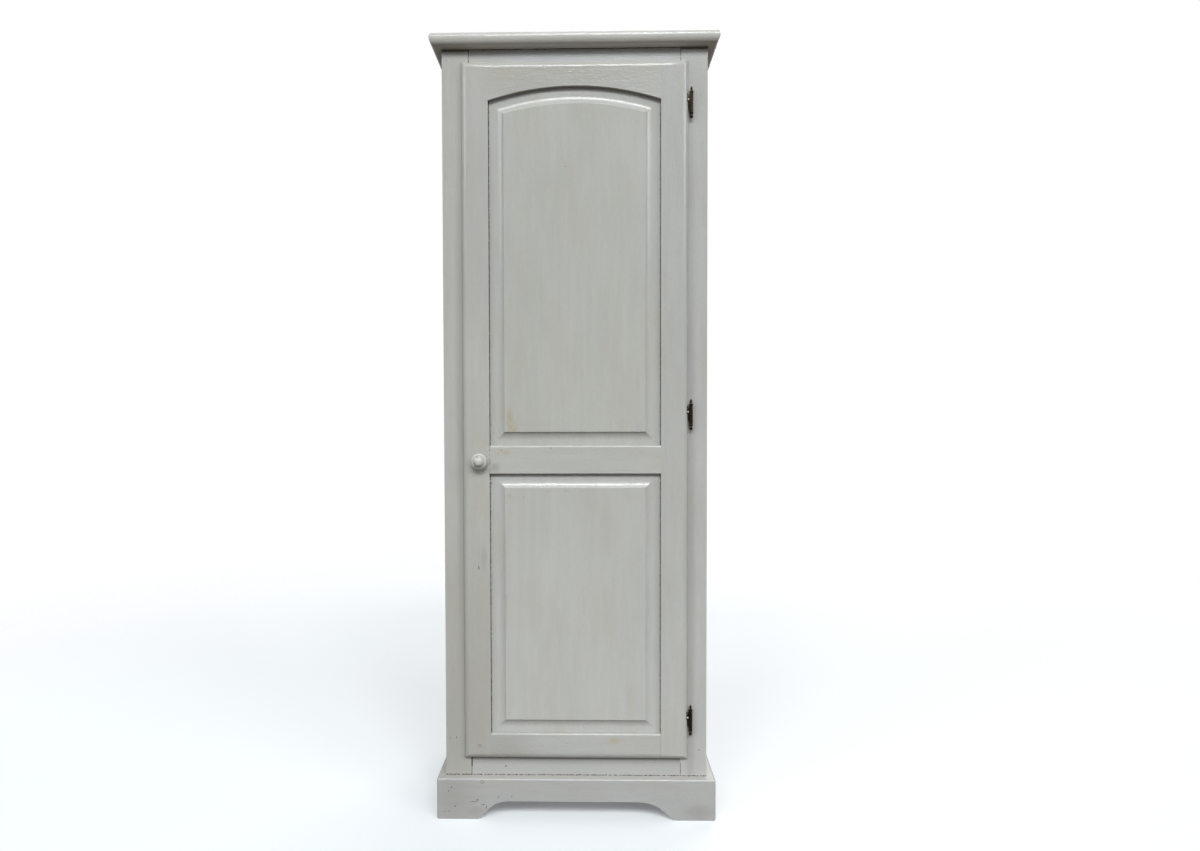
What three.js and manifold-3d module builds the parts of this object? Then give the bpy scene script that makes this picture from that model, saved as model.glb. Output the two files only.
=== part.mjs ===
import * as THREE from 'three';
import { mergeVertices } from 'three/addons/utils/BufferGeometryUtils.js';
import Module from 'manifold-3d';

const wasm = await Module();
wasm.setup();

// A one-door pine cabinet. Lengths are millimetres.
// X runs to the right, Y from the face frame into the cabinet, Z up from the floor.

// Overall sizes
const cabinetHeight = 1900;
const carcassWidth = 640;
const carcassDepth = 424;
const boardThickness = 18;

// Clearances and the overrun of every cut
const jointClearance = 0.3;
const pinClearance = 0.15;
const shelfSideClearance = 1;
const doorSideClearance = 2;
const overrun = 5;

// Face frame
const frameThickness = 20;
const frameStileWidth = 64;
const topRailHeight = 48;
const topRailSetback = 1.2;
const bottomRailFloorGap = 60;
const bottomRailTop = 160;
const frameTenonLength = 25;
const frameTenonThickness = 8;
const frameTenonShoulder = 8;

// Cornice
const corniceHeight = 31;
const corniceUndersideOverhang = 13;
const corniceNoseReach = 13;
const corniceNoseDrop = 13;
const corniceTopRound = 10;
const corniceSeatWidth = 34;
const dustPanelThickness = 10;
const dustPanelLedge = 10;
const noseSteps = 8;

// Plinth
const plinthHeight = 100;
const plinthThickness = 20;
const plinthArris = 4.5;
const arrisSteps = 5;
const archGapHeight = 44.5;
const archGapLeftReach = 237;
const archGapRightReach = 241;
const archFlatLeftReach = 165;
const archFlatRightReach = 146;
const archLeftKneeInset = 24;
const archRightKneeInset = 35;
const archLeftKneeHeight = 25;
const archRightKneeHeight = 28;
const archToeRound = 5;
const archCurveSteps = 8;

// Boards behind the frame
const housingDepth = 6;
const backPanelThickness = 5;
const backRebateWidth = 8;
const rearRailFloorGap = 20;
const cornerBlockSize = 40;
const cornerBlockBottom = 60;

// Shelves and their cleats
const shelfCount = 4;
const shelfFrontSetback = 2;
const cleatSize = 20;
const cleatSetback = 10;

// Door
const doorLipThickness = 16;
const doorSideOverlap = 17.5;
const doorEndOverlap = 14;
const doorTongueDepth = 10;
const doorEdgeReach = 17.5;
const doorEdgeFall = 15;
const doorEdgeSteps = 8;
const doorStileWidth = 66.5;
const doorTopRailWidth = 61.5;
const doorMiddleRailWidth = 68;
const doorMiddleRailBottom = 845.5;
const doorBottomRailWidth = 64.5;
const railTopArris = 4;
const railLowerArris = 2;
const archRise = 33;
const archSteps = 28;
const panelBorderSetback = 9.5;
const panelTongueThickness = 7;
const panelTongueReach = 8;
const grooveDepth = 10;
const doorTenonLength = 20;
const doorTenonMargin = 4;

// Raised fields of the door panels
const fieldSetback = 1;
const fieldSideMargin = 36;
const fieldEndMargin = 33;
const fieldArchMargin = 38;
const fieldStep = 1.5;
const fieldStepSlope = 0.5;
const coveWidth = 17;
const coveSteps = 6;

// Knob
const knobRise = 30.5;
const knobInset = 42;
const knobRadius = 19.5;
const knobProjection = 30;
const knobScrewRadius = 2;
const knobScrewHeadRadius = 4;
const knobScrewHeadHeight = 2.4;
const knobScrewReach = 14;
const turningSteps = 32;

// Hinges
const topHingeInset = 100;
const bottomHingeInset = 97.5;
const hingeStandoff = 6.5;
const knuckleRadius = 4.4;
const upperKnuckleLength = 21.5;
const lowerKnuckleLength = 22;
const hingePinRadius = 2;
const hingePinReach = 16;
const hingeGap = 0.3;
const bladeThickness = 2;
const frameBladeReach = 22;
const frameBladeHeight = 14;
const doorBladeReach = 22;
const doorBladeHeight = 20;
const cheekReach = 8.5;
const cheekHalfHeight = 24;
const hingeSteps = 16;
const cheekSteps = 16;

// Magnetic catch
const catchWidth = 24;
const catchDepth = 34;
const catchHeight = 13;
const strikeThickness = 1.5;
const strikeHeight = 12;
const magnetWidth = 15;
const magnetDepth = 10;
const magnetHeight = 8;
const catchScrewRadius = 1.5;
const catchScrewHeadRadius = 3;
const catchScrewHeadHeight = 1.8;
const catchScrewBite = 11;
const catchScrewSpacing = 12;
const catchScrewSetback = 9;
const strikeScrewLength = 12;
const screwSteps = 12;

// Heights and faces that follow from the sizes above
const carcassHalf = carcassWidth / 2;
const carcassTop = cabinetHeight - corniceHeight;
const sideInner = carcassHalf - boardThickness;
const openingHalf = carcassHalf - frameStileWidth;
const openingTop = carcassTop - topRailHeight;
const bottomBoardUnderside = bottomRailTop - boardThickness;
const topBoardUnderside = carcassTop - boardThickness;
const boardBack = carcassDepth - backPanelThickness;
const lipHalf = openingHalf + doorSideOverlap;
const lipBottom = bottomRailTop - doorEndOverlap;
const lipTop = openingTop + doorEndOverlap;
const panelOpeningHalf = lipHalf - doorStileWidth;
const archApex = lipTop - doorTopRailWidth;
const archRadius = (panelOpeningHalf ** 2 + archRise ** 2) / (2 * archRise);
const archCentre = archApex - archRadius;
const panelFront = panelBorderSetback - doorLipThickness;
const panelBack = panelFront + panelTongueThickness;
const middleRailTop = doorMiddleRailBottom + doorMiddleRailWidth;
const bottomRailInner = lipBottom + doorBottomRailWidth;
const knobX = knobInset - lipHalf;
const knobHeight = doorMiddleRailBottom + knobRise;
const hingeX = lipHalf + hingeStandoff;
const hingeY = -doorLipThickness / 2;
const topHingeSplit = lipTop - topHingeInset;
const bottomHingeSplit = lipBottom + bottomHingeInset;
const hingeSplitHeights = {
  top: topHingeSplit,
  middle: (topHingeSplit + bottomHingeSplit) / 2,
  bottom: bottomHingeSplit,
};
const shelfGap = (topBoardUnderside - bottomRailTop - shelfCount * boardThickness) / (shelfCount + 1);
const strikeBack = doorTongueDepth + strikeThickness;
const catchFront = strikeBack + jointClearance;

// Finishes
const greyPaint = { color: 0xb4b4ad, roughness: 0.45, metalness: 0 };
const barePine = { color: 0xc9a877, roughness: 0.7, metalness: 0 };
const agedBronze = { color: 0x3a2f24, roughness: 0.45, metalness: 0.9 };
const zincSteel = { color: 0x9a9c9e, roughness: 0.35, metalness: 1 };
const brownPlastic = { color: 0x4a3528, roughness: 0.5, metalness: 0 };

// Solids for joining and cutting
function toSolid(geometry) {
  const bare = geometry.index ? geometry.clone() : geometry;
  bare.deleteAttribute('normal');
  bare.deleteAttribute('uv');
  const merged = mergeVertices(bare);
  return new wasm.Manifold(new wasm.Mesh({
    numProp: 3,
    vertProperties: new Float32Array(merged.attributes.position.array),
    triVerts: new Uint32Array(merged.index.array),
  }));
}

function fromSolid(solid) {
  const mesh = solid.getMesh();
  const geometry = new THREE.BufferGeometry();
  geometry.setAttribute('position', new THREE.BufferAttribute(mesh.vertProperties, mesh.numProp));
  geometry.setIndex(new THREE.BufferAttribute(mesh.triVerts, 1));
  geometry.computeVertexNormals();
  return geometry;
}

function cut(geometry, ...tools) {
  return fromSolid(tools.reduce((solid, tool) => solid.subtract(toSolid(tool)), toSolid(geometry)));
}

function join(geometry, ...others) {
  return fromSolid(others.reduce((solid, other) => solid.add(toSolid(other)), toSolid(geometry)));
}

function common(geometry, ...others) {
  return fromSolid(others.reduce((solid, other) => solid.intersect(toSolid(other)), toSolid(geometry)));
}

// Boxes and prisms between two ends
function block([x0, x1], [y0, y1], [z0, z1]) {
  const geometry = new THREE.BoxGeometry(x1 - x0, y1 - y0, z1 - z0);
  return geometry.translate((x0 + x1) / 2, (y0 + y1) / 2, (z0 + z1) / 2);
}

function prism(outline, depth) {
  const shape = new THREE.Shape(outline.map(([u, v]) => new THREE.Vector2(u, v)));
  return new THREE.ExtrudeGeometry(shape, { depth, bevelEnabled: false });
}

const axisX = new THREE.Vector3(1, 0, 0);
const axisY = new THREE.Vector3(0, 1, 0);
const axisZ = new THREE.Vector3(0, 0, 1);

function prismAlongX(outline, [x0, x1]) {
  const basis = new THREE.Matrix4().makeBasis(axisY, axisZ, axisX);
  return prism(outline, x1 - x0).applyMatrix4(basis).translate(x0, 0, 0);
}

function prismAlongY(outline, [y0, y1]) {
  const basis = new THREE.Matrix4().makeBasis(axisX, axisZ, axisY.clone().negate());
  return prism(outline, y1 - y0).applyMatrix4(basis).translate(0, y1, 0);
}

function prismAlongZ(outline, [z0, z1]) {
  return prism(outline, z1 - z0).translate(0, 0, z0);
}

// Points on an elliptical arc, from one angle to another
function arc(centreU, centreV, radiusU, radiusV, from, to, steps) {
  const points = [];
  for (let step = 0; step <= steps; step += 1) {
    const angle = from + (to - from) * step / steps;
    points.push([centreU + radiusU * Math.cos(angle), centreV + radiusV * Math.sin(angle)]);
  }
  return points;
}

// A turned solid stood upright: the profile lists radius and height
function turned(profile, steps) {
  const points = profile.map(([radius, height]) => new THREE.Vector2(radius, height));
  return new THREE.LatheGeometry(points, steps).rotateX(Math.PI / 2);
}

// A closed solid through rings that all hold the same number of points
function loft(rings) {
  const count = rings[0].length;
  const positions = rings.flat(2);
  const faces = [];
  for (let ring = 0; ring + 1 < rings.length; ring += 1) {
    for (let point = 0; point < count; point += 1) {
      const next = (point + 1) % count;
      const a = ring * count + point;
      const b = ring * count + next;
      faces.push(a, b, a + count, b, b + count, a + count);
    }
  }
  const lastRing = (rings.length - 1) * count;
  for (let point = 1; point + 1 < count; point += 1) {
    faces.push(0, point + 1, point);
    faces.push(lastRing, lastRing + point, lastRing + point + 1);
  }
  const geometry = new THREE.BufferGeometry();
  geometry.setAttribute('position', new THREE.Float32BufferAttribute(positions, 3));
  geometry.setIndex(faces);
  geometry.computeVertexNormals();
  return geometry;
}

// The object stands on the floor with the middle of its depth, knob included, over the origin
const cabinet = new THREE.Group();
const knobFront = -doorLipThickness - knobProjection;
cabinet.position.y = -(knobFront + carcassDepth) / 2;
const carcass = new THREE.Group();
const door = new THREE.Group();
cabinet.add(carcass, door);

function addPart(parent, name, geometry, finish) {
  const mesh = new THREE.Mesh(geometry, new THREE.MeshStandardMaterial(finish));
  mesh.name = name;
  parent.add(mesh);
}

// A [low, high] span on one side of the middle, -1 for left and 1 for right
function sideSpan(side, inner, outer) {
  return side < 0 ? [-outer, -inner] : [inner, outer];
}

const sides = { left: -1, right: 1 };

// Side panels, housed for the bottom and top boards and rebated for the back
function sidePanel(side) {
  const panel = block(
    sideSpan(side, sideInner, carcassHalf),
    [frameThickness, carcassDepth],
    [0, carcassTop],
  );
  const housingX = sideSpan(side, sideInner - overrun, sideInner + housingDepth);
  const housingY = [frameThickness - overrun, boardBack];
  const rebateX = sideSpan(side, sideInner - overrun, sideInner + backRebateWidth);
  return cut(
    panel,
    block(housingX, housingY, [bottomBoardUnderside, bottomRailTop]),
    block(housingX, housingY, [topBoardUnderside, carcassTop + overrun]),
    block(rebateX, [boardBack, carcassDepth + overrun], [bottomBoardUnderside, carcassTop + overrun]),
  );
}

for (const [name, side] of Object.entries(sides)) {
  addPart(carcass, `${name}_side_panel`, sidePanel(side), greyPaint);
}

// Boards across the carcass
const housedHalf = sideInner + housingDepth - jointClearance;
const rebatedHalf = sideInner + backRebateWidth - jointClearance;
const boardSpanY = [frameThickness, boardBack];
const bottomBoard = block([-housedHalf, housedHalf], boardSpanY, [bottomBoardUnderside, bottomRailTop]);
const topBoard = block([-housedHalf, housedHalf], boardSpanY, [topBoardUnderside, carcassTop]);
const backPanel = block(
  [-rebatedHalf, rebatedHalf],
  [boardBack, carcassDepth],
  [bottomBoardUnderside, carcassTop],
);
const rearRail = block(
  [-sideInner, sideInner],
  [carcassDepth - boardThickness, carcassDepth],
  [rearRailFloorGap, bottomBoardUnderside],
);
addPart(carcass, 'bottom_board', bottomBoard, barePine);
addPart(carcass, 'top_board', topBoard, barePine);
addPart(carcass, 'back_panel', backPanel, barePine);
addPart(carcass, 'rear_base_rail', rearRail, barePine);

// Glue blocks in the two front corners below the bottom board
for (const [name, side] of Object.entries(sides)) {
  const outline = [
    [side * sideInner, frameThickness],
    [side * (sideInner - cornerBlockSize), frameThickness],
    [side * sideInner, frameThickness + cornerBlockSize],
  ];
  const geometry = prismAlongZ(outline, [cornerBlockBottom, bottomBoardUnderside]);
  addPart(carcass, `${name}_corner_block`, geometry, barePine);
}

// Face frame rails with a tenon at each end; the bottom one ends out of sight above the plinth's arch
const frameTenonFront = (frameThickness - frameTenonThickness) / 2;
const frameTenonBack = frameTenonFront + frameTenonThickness;

function frameRail([bottom, top], setback) {
  const tenonHalf = openingHalf + frameTenonLength;
  return join(
    block([-openingHalf, openingHalf], [setback, frameThickness], [bottom, top]),
    block(
      [-tenonHalf, tenonHalf],
      [frameTenonFront, frameTenonBack],
      [bottom + frameTenonShoulder, top - frameTenonShoulder],
    ),
  );
}

const frameRailSpans = {
  top: [openingTop, carcassTop],
  bottom: [bottomRailFloorGap, bottomRailTop],
};
addPart(carcass, 'top_frame_rail', frameRail(frameRailSpans.top, topRailSetback), greyPaint);
addPart(carcass, 'bottom_frame_rail', frameRail(frameRailSpans.bottom, 0), greyPaint);

// Face frame stiles, mortised for the rails and slotted on the hinge side
function frameMortise(side, [bottom, top]) {
  return block(
    sideSpan(side, openingHalf - overrun, openingHalf + frameTenonLength + jointClearance),
    [frameTenonFront - jointClearance, frameTenonBack + jointClearance],
    [bottom + frameTenonShoulder - jointClearance, top - frameTenonShoulder + jointClearance],
  );
}

function frameBlade(split, room) {
  const middle = split - lowerKnuckleLength / 2;
  return block(
    [hingeX - bladeThickness / 2 - room, hingeX + bladeThickness / 2 + room],
    [hingeY, hingeY + frameBladeReach + room],
    [middle - frameBladeHeight / 2 - room, middle + frameBladeHeight / 2 + room],
  );
}

const hingeSplits = Object.values(hingeSplitHeights);
for (const [name, side] of Object.entries(sides)) {
  const stile = block(sideSpan(side, openingHalf, carcassHalf), [0, frameThickness], [0, carcassTop]);
  const mortises = Object.values(frameRailSpans).map((span) => frameMortise(side, span));
  const slots = side > 0 ? hingeSplits.map((split) => frameBlade(split, jointClearance)) : [];
  addPart(carcass, `${name}_frame_stile`, cut(stile, ...mortises, ...slots), greyPaint);
}

// Cornice: a mitred moulding on the carcass top, rebated inside for the dust panel
const corniceReach = corniceUndersideOverhang + corniceNoseReach;
const noseCentre = cabinetHeight - corniceNoseDrop;
const ledgeHeight = cabinetHeight - dustPanelThickness;

// The nose is rounded above its widest line and below it, down to the flat underside
const noseFall = noseCentre - carcassTop;

// The moulding's section: distance inwards from the carcass face, then height
const corniceSection = [
  [corniceSeatWidth, carcassTop],
  [corniceSeatWidth, ledgeHeight],
  [corniceSeatWidth - dustPanelLedge, ledgeHeight],
  [corniceSeatWidth - dustPanelLedge, cabinetHeight],
  ...arc(
    corniceTopRound - corniceReach, noseCentre, corniceTopRound, corniceNoseDrop,
    Math.PI / 2, Math.PI, noseSteps,
  ),
  ...arc(
    corniceNoseReach - corniceReach, noseCentre, corniceNoseReach, noseFall,
    Math.PI, Math.PI * 3 / 2, noseSteps,
  ).slice(1),
];

// Mitred outlines seen from above, for a front piece and for a side piece that reaches to the back
function frontMitre(reach, seat, gap) {
  const outer = carcassHalf + reach - gap;
  const inner = carcassHalf - seat - gap;
  return [[-outer, -reach], [outer, -reach], [inner, seat], [-inner, seat]];
}

function sideMitre(side, reach, seat, gap) {
  return [
    [side * (carcassHalf + reach), gap - reach],
    [side * (carcassHalf + reach), carcassDepth],
    [side * (carcassHalf - seat), carcassDepth],
    [side * (carcassHalf - seat), seat + gap],
  ];
}

const mitreGap = jointClearance / 2;
const corniceSpanZ = [carcassTop, cabinetHeight];
const corniceHalf = carcassHalf + corniceReach;
const corniceFront = common(
  prismAlongX(corniceSection, [-corniceHalf, corniceHalf]),
  prismAlongZ(frontMitre(corniceReach, corniceSeatWidth, mitreGap), corniceSpanZ),
);
addPart(carcass, 'cornice_front', corniceFront, greyPaint);
for (const [name, side] of Object.entries(sides)) {
  const section = corniceSection.map(([inwards, height]) => [side * (carcassHalf - inwards), height]);
  const geometry = common(
    prismAlongY(section, [-corniceReach, carcassDepth]),
    prismAlongZ(sideMitre(side, corniceReach, corniceSeatWidth, mitreGap), corniceSpanZ),
  );
  addPart(carcass, `cornice_${name}`, geometry, greyPaint);
}

const dustPanelHalf = carcassHalf - corniceSeatWidth + dustPanelLedge - jointClearance;
const corniceRailFront = carcassDepth - corniceSeatWidth;
const corniceRailHalf = carcassHalf - corniceSeatWidth;
const corniceRail = cut(
  block([-corniceRailHalf, corniceRailHalf], [corniceRailFront, carcassDepth], corniceSpanZ),
  block(
    [-corniceHalf, corniceHalf],
    [corniceRailFront - overrun, corniceRailFront + dustPanelLedge],
    [ledgeHeight, cabinetHeight + overrun],
  ),
);
const dustPanel = block(
  [-dustPanelHalf, dustPanelHalf],
  [
    corniceSeatWidth - dustPanelLedge + jointClearance,
    corniceRailFront + dustPanelLedge - jointClearance,
  ],
  [ledgeHeight, cabinetHeight],
);
addPart(carcass, 'cornice_back_rail', corniceRail, barePine);
addPart(carcass, 'cornice_top_panel', dustPanel, barePine);

// Plinth: mitred boards round the foot of the carcass, the front one cut to leave two feet
const plinthHalf = carcassHalf + plinthThickness;

// Section: distance inwards from the carcass face, then height, with a rounded top arris
const plinthSection = [
  [-plinthThickness, 0],
  [0, 0],
  [0, plinthHeight],
  ...arc(
    plinthArris - plinthThickness, plinthHeight - plinthArris, plinthArris, plinthArris,
    Math.PI / 2, Math.PI, arrisSteps,
  ),
];

// One side of the cut-out: a rounded toe, a slope up to the knee, then a curve into the flat
function archSide(side, reach, kneeInset, kneeHeight, flatReach) {
  const kneeX = reach - kneeInset;
  const slope = kneeInset / kneeHeight;
  const toe = new THREE.QuadraticBezierCurve(
    new THREE.Vector2(reach + archToeRound, 0),
    new THREE.Vector2(reach, 0),
    new THREE.Vector2(reach - archToeRound * slope, archToeRound),
  );
  const curve = new THREE.QuadraticBezierCurve(
    new THREE.Vector2(kneeX, kneeHeight),
    new THREE.Vector2(kneeX - (archGapHeight - kneeHeight) * slope, archGapHeight),
    new THREE.Vector2(flatReach, archGapHeight),
  );
  const points = [...toe.getPoints(arrisSteps), ...curve.getPoints(archCurveSteps)];
  return points.map((point) => [side * point.x, point.y]);
}

// The right side was sawn a little wider and flatter than the left
const archSideLeft = archSide(
  -1, archGapLeftReach, archLeftKneeInset, archLeftKneeHeight, archFlatLeftReach,
);
const archSideRight = archSide(
  1, archGapRightReach, archRightKneeInset, archRightKneeHeight, archFlatRightReach,
);
const plinthFrontOutline = [
  [-plinthHalf, 0],
  ...archSideLeft,
  ...archSideRight.reverse(),
  [plinthHalf, 0],
  [plinthHalf, plinthHeight],
  [-plinthHalf, plinthHeight],
];
const plinthFront = common(
  prismAlongY(plinthFrontOutline, [-plinthThickness, 0]),
  prismAlongX(plinthSection, [-plinthHalf, plinthHalf]),
  prismAlongZ(frontMitre(plinthThickness, 0, mitreGap), [0, plinthHeight]),
);
addPart(carcass, 'plinth_front', plinthFront, greyPaint);
for (const [name, side] of Object.entries(sides)) {
  const section = plinthSection.map(([inwards, height]) => [side * (carcassHalf - inwards), height]);
  const geometry = common(
    prismAlongY(section, [-plinthThickness, carcassDepth]),
    prismAlongZ(sideMitre(side, plinthThickness, 0, mitreGap), [0, plinthHeight]),
  );
  addPart(carcass, `plinth_${name}`, geometry, greyPaint);
}

// Screws, upright with the head at the bottom
function countersunkScrew(radius, headRadius, headHeight, length) {
  return turned([
    [0, 0],
    [headRadius, 0],
    [radius, headHeight],
    [radius, length - radius],
    [0, length],
  ], screwSteps);
}

// Loose shelves on cleats; the second one also carries the magnetic catch
const shelfFront = frameThickness + shelfFrontSetback;
const shelfHalf = sideInner - shelfSideClearance;
const shelfUndersides = [];
for (let shelf = 1; shelf <= shelfCount; shelf += 1) {
  shelfUndersides.push(bottomRailTop + shelf * shelfGap + (shelf - 1) * boardThickness);
}
const catchShelf = 2;
const catchTop = shelfUndersides[catchShelf - 1];
const catchBottom = catchTop - catchHeight;
const catchScrewY = catchFront + catchDepth - catchScrewSetback;
const catchScrewXs = [-1, 1].map((side) => knobX + side * catchScrewSpacing / 2);
const catchScrewLength = catchHeight + catchScrewBite;

function catchScrewAt(x, room) {
  const screw = countersunkScrew(
    catchScrewRadius + room, catchScrewHeadRadius + room, catchScrewHeadHeight, catchScrewLength + room,
  );
  return screw.translate(x, catchScrewY, catchBottom);
}

shelfUndersides.forEach((underside, index) => {
  const number = index + 1;
  const boardSpanZ = [underside, underside + boardThickness];
  const board = block([-shelfHalf, shelfHalf], [shelfFront, boardBack], boardSpanZ);
  const pilots = number === catchShelf ? catchScrewXs.map((x) => catchScrewAt(x, jointClearance)) : [];
  addPart(carcass, `shelf_${number}`, pilots.length ? cut(board, ...pilots) : board, barePine);
  for (const [name, side] of Object.entries(sides)) {
    const cleat = block(
      sideSpan(side, sideInner - cleatSize, sideInner),
      [frameThickness + cleatSetback, boardBack - cleatSetback],
      [underside - cleatSize, underside],
    );
    addPart(carcass, `shelf_${number}_${name}_cleat`, cleat, barePine);
  }
});

// Magnetic catch under the shelf: a moulded case, its magnet and two screws
const catchSpanX = [knobX - catchWidth / 2, knobX + catchWidth / 2];
const catchSpanY = [catchFront, catchFront + catchDepth];
const magnetBottom = catchBottom + (catchHeight - magnetHeight) / 2;
const magnetSpanZ = [magnetBottom, magnetBottom + magnetHeight];
const magnetPocket = block(
  [knobX - magnetWidth / 2 - jointClearance, knobX + magnetWidth / 2 + jointClearance],
  [catchFront - overrun, catchFront + magnetDepth + jointClearance],
  [magnetSpanZ[0], magnetSpanZ[1] + jointClearance],
);
const catchCase = cut(
  block(catchSpanX, catchSpanY, [catchBottom, catchTop]),
  magnetPocket,
  ...catchScrewXs.map((x) => catchScrewAt(x, jointClearance)),
);
const magnet = block(
  [knobX - magnetWidth / 2, knobX + magnetWidth / 2],
  [catchFront, catchFront + magnetDepth],
  magnetSpanZ,
);
addPart(carcass, 'catch_case', catchCase, brownPlastic);
addPart(carcass, 'catch_magnet', magnet, zincSteel);
addPart(carcass, 'catch_left_screw', catchScrewAt(catchScrewXs[0], 0), zincSteel);
addPart(carcass, 'catch_right_screw', catchScrewAt(catchScrewXs[1], 0), zincSteel);

// The door's outer form: a rounded lip in front and a rebated tongue inside the opening
function lipSection(low, high) {
  const reach = doorEdgeReach;
  const fall = doorEdgeFall;
  const centre = fall - doorLipThickness;
  return [
    [high, 0],
    [low, 0],
    ...arc(low + reach, centre, reach, fall, Math.PI, Math.PI * 3 / 2, doorEdgeSteps),
    ...arc(high - reach, centre, reach, fall, Math.PI * 3 / 2, Math.PI * 2, doorEdgeSteps),
  ];
}

const tongueHalf = openingHalf - doorSideClearance;
const lipAcross = prismAlongZ(lipSection(-lipHalf, lipHalf), [lipBottom, lipTop]);
const lipUpright = prismAlongX(
  lipSection(lipBottom, lipTop).map(([height, depth]) => [depth, height]),
  [-lipHalf, lipHalf],
);
const doorTongue = block(
  [-tongueHalf, tongueHalf],
  [-doorLipThickness / 2, doorTongueDepth],
  [bottomRailTop + doorSideClearance, openingTop - doorSideClearance],
);
const doorForm = join(common(lipAcross, lipUpright), doorTongue);

// Rails: spans across the opening, and the tenons that fill the stiles' mortises
const doorSpanY = [-doorLipThickness - overrun, doorTongueDepth + overrun];
const grooveSpanY = [panelFront - jointClearance, panelBack + jointClearance];
const tenonInset = grooveDepth + doorTenonMargin;
const archGrooveTop = archCentre + Math.sqrt((archRadius + grooveDepth) ** 2 - panelOpeningHalf ** 2);
const doorTenonSpans = [
  [archGrooveTop + doorTenonMargin, openingTop - tenonInset],
  [doorMiddleRailBottom + tenonInset, middleRailTop - tenonInset],
  [bottomRailTop + tenonInset, bottomRailInner - tenonInset],
];

function tenons([bottom, top]) {
  const root = panelOpeningHalf - doorTenonMargin;
  const end = panelOpeningHalf + doorTenonLength;
  return Object.values(sides).map(
    (side) => block(sideSpan(side, root, end), [panelFront, panelBack], [bottom, top]),
  );
}

// The arch as seen from the front, from right to left, at a radius and half width
function archLine(radius, half) {
  const reach = Math.asin(half / radius);
  return arc(0, archCentre, radius, radius, Math.PI / 2 - reach, Math.PI / 2 + reach, archSteps);
}

const topRailOutline = [
  [-panelOpeningHalf, lipTop],
  ...archLine(archRadius, panelOpeningHalf).reverse(),
  [panelOpeningHalf, lipTop],
];
const archGroove = [
  ...archLine(archRadius - overrun, panelOpeningHalf + overrun),
  ...archLine(archRadius + grooveDepth, panelOpeningHalf + overrun).reverse(),
];
const doorTopRail = join(
  cut(
    common(doorForm, prismAlongY(topRailOutline, doorSpanY)),
    prismAlongY(archGroove, grooveSpanY),
  ),
  ...tenons(doorTenonSpans[0]),
);

// A rail's section with its front edges eased, as depth and height
function easedRail(bottom, top, lowerArris, upperArris) {
  const front = -doorLipThickness;
  const easing = (radius, height, from, to) => (
    radius > 0 ? arc(front + radius, height, radius, radius, from, to, arrisSteps) : [[front, height]]
  );
  const section = [
    ...easing(upperArris, top - upperArris, Math.PI / 2, Math.PI),
    ...easing(lowerArris, bottom + lowerArris, Math.PI, Math.PI * 3 / 2),
    [doorTongueDepth, bottom],
    [doorTongueDepth, top],
  ];
  return prismAlongX(section, [-panelOpeningHalf, panelOpeningHalf]);
}

const doorMiddleRail = join(
  cut(
    easedRail(doorMiddleRailBottom, middleRailTop, railLowerArris, railTopArris),
    block([-lipHalf, lipHalf], grooveSpanY, [middleRailTop - grooveDepth, middleRailTop + overrun]),
    block(
      [-lipHalf, lipHalf],
      grooveSpanY,
      [doorMiddleRailBottom - overrun, doorMiddleRailBottom + grooveDepth],
    ),
  ),
  ...tenons(doorTenonSpans[1]),
);
const doorBottomRail = join(
  cut(
    common(doorForm, easedRail(lipBottom, bottomRailInner, 0, railTopArris)),
    block([-lipHalf, lipHalf], grooveSpanY, [bottomRailInner - grooveDepth, bottomRailInner + overrun]),
  ),
  ...tenons(doorTenonSpans[2]),
);
addPart(door, 'door_top_rail', doorTopRail, greyPaint);
addPart(door, 'door_middle_rail', doorMiddleRail, greyPaint);
addPart(door, 'door_bottom_rail', doorBottomRail, greyPaint);

// Stiles: grooved for the panels, mortised for the rails, bored or slotted for the fittings
function doorMortise(side, [bottom, top]) {
  return block(
    sideSpan(side, panelOpeningHalf - overrun, panelOpeningHalf + doorTenonLength + jointClearance),
    grooveSpanY,
    [bottom - jointClearance, top + jointClearance],
  );
}

function doorStile(side, fittings) {
  const blank = common(
    doorForm,
    block(sideSpan(side, panelOpeningHalf, lipHalf), doorSpanY, [lipBottom, lipTop]),
  );
  const groove = block(
    sideSpan(side, panelOpeningHalf - overrun, panelOpeningHalf + grooveDepth),
    grooveSpanY,
    [bottomRailTop + tenonInset, openingTop - tenonInset],
  );
  return cut(blank, groove, ...doorTenonSpans.map((span) => doorMortise(side, span)), ...fittings);
}

// Knob, turned about its own axis and screwed on from behind
const knobProfileShares = [
  [0.46, 0], [0.41, 0.06], [0.43, 0.14], [0.6, 0.21], [0.88, 0.28], [0.99, 0.36], [1, 0.43],
  [0.95, 0.51], [0.86, 0.56], [0.77, 0.565], [0.69, 0.55], [0.65, 0.58], [0.63, 0.66],
  [0.6, 0.76], [0.5, 0.88], [0.35, 0.96], [0.18, 0.99],
];
const knobProfile = [
  [0, 0],
  ...knobProfileShares.map(([radial, along]) => [radial * knobRadius, along * knobProjection]),
  [0, knobProjection],
];

// Turns an upright piece to point forwards, its base at the given depth
function forwards(geometry, depth) {
  return geometry.rotateX(Math.PI / 2).translate(knobX, depth, 0);
}

function knobScrew(room) {
  const profile = [
    [0, -knobScrewHeadHeight],
    [knobScrewHeadRadius, -knobScrewHeadHeight],
    [knobScrewHeadRadius, 0],
    [knobScrewRadius + room, 0],
    [knobScrewRadius + room, doorTongueDepth + doorLipThickness + knobScrewReach + room],
    [0, doorTongueDepth + doorLipThickness + knobScrewReach + room],
  ];
  return forwards(turned(profile, screwSteps), doorTongueDepth).translate(0, 0, knobHeight);
}

const knob = cut(
  forwards(turned(knobProfile, turningSteps), -doorLipThickness).translate(0, 0, knobHeight),
  knobScrew(jointClearance),
);
addPart(door, 'door_knob', knob, greyPaint);
addPart(door, 'knob_screw', knobScrew(0), zincSteel);

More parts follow.
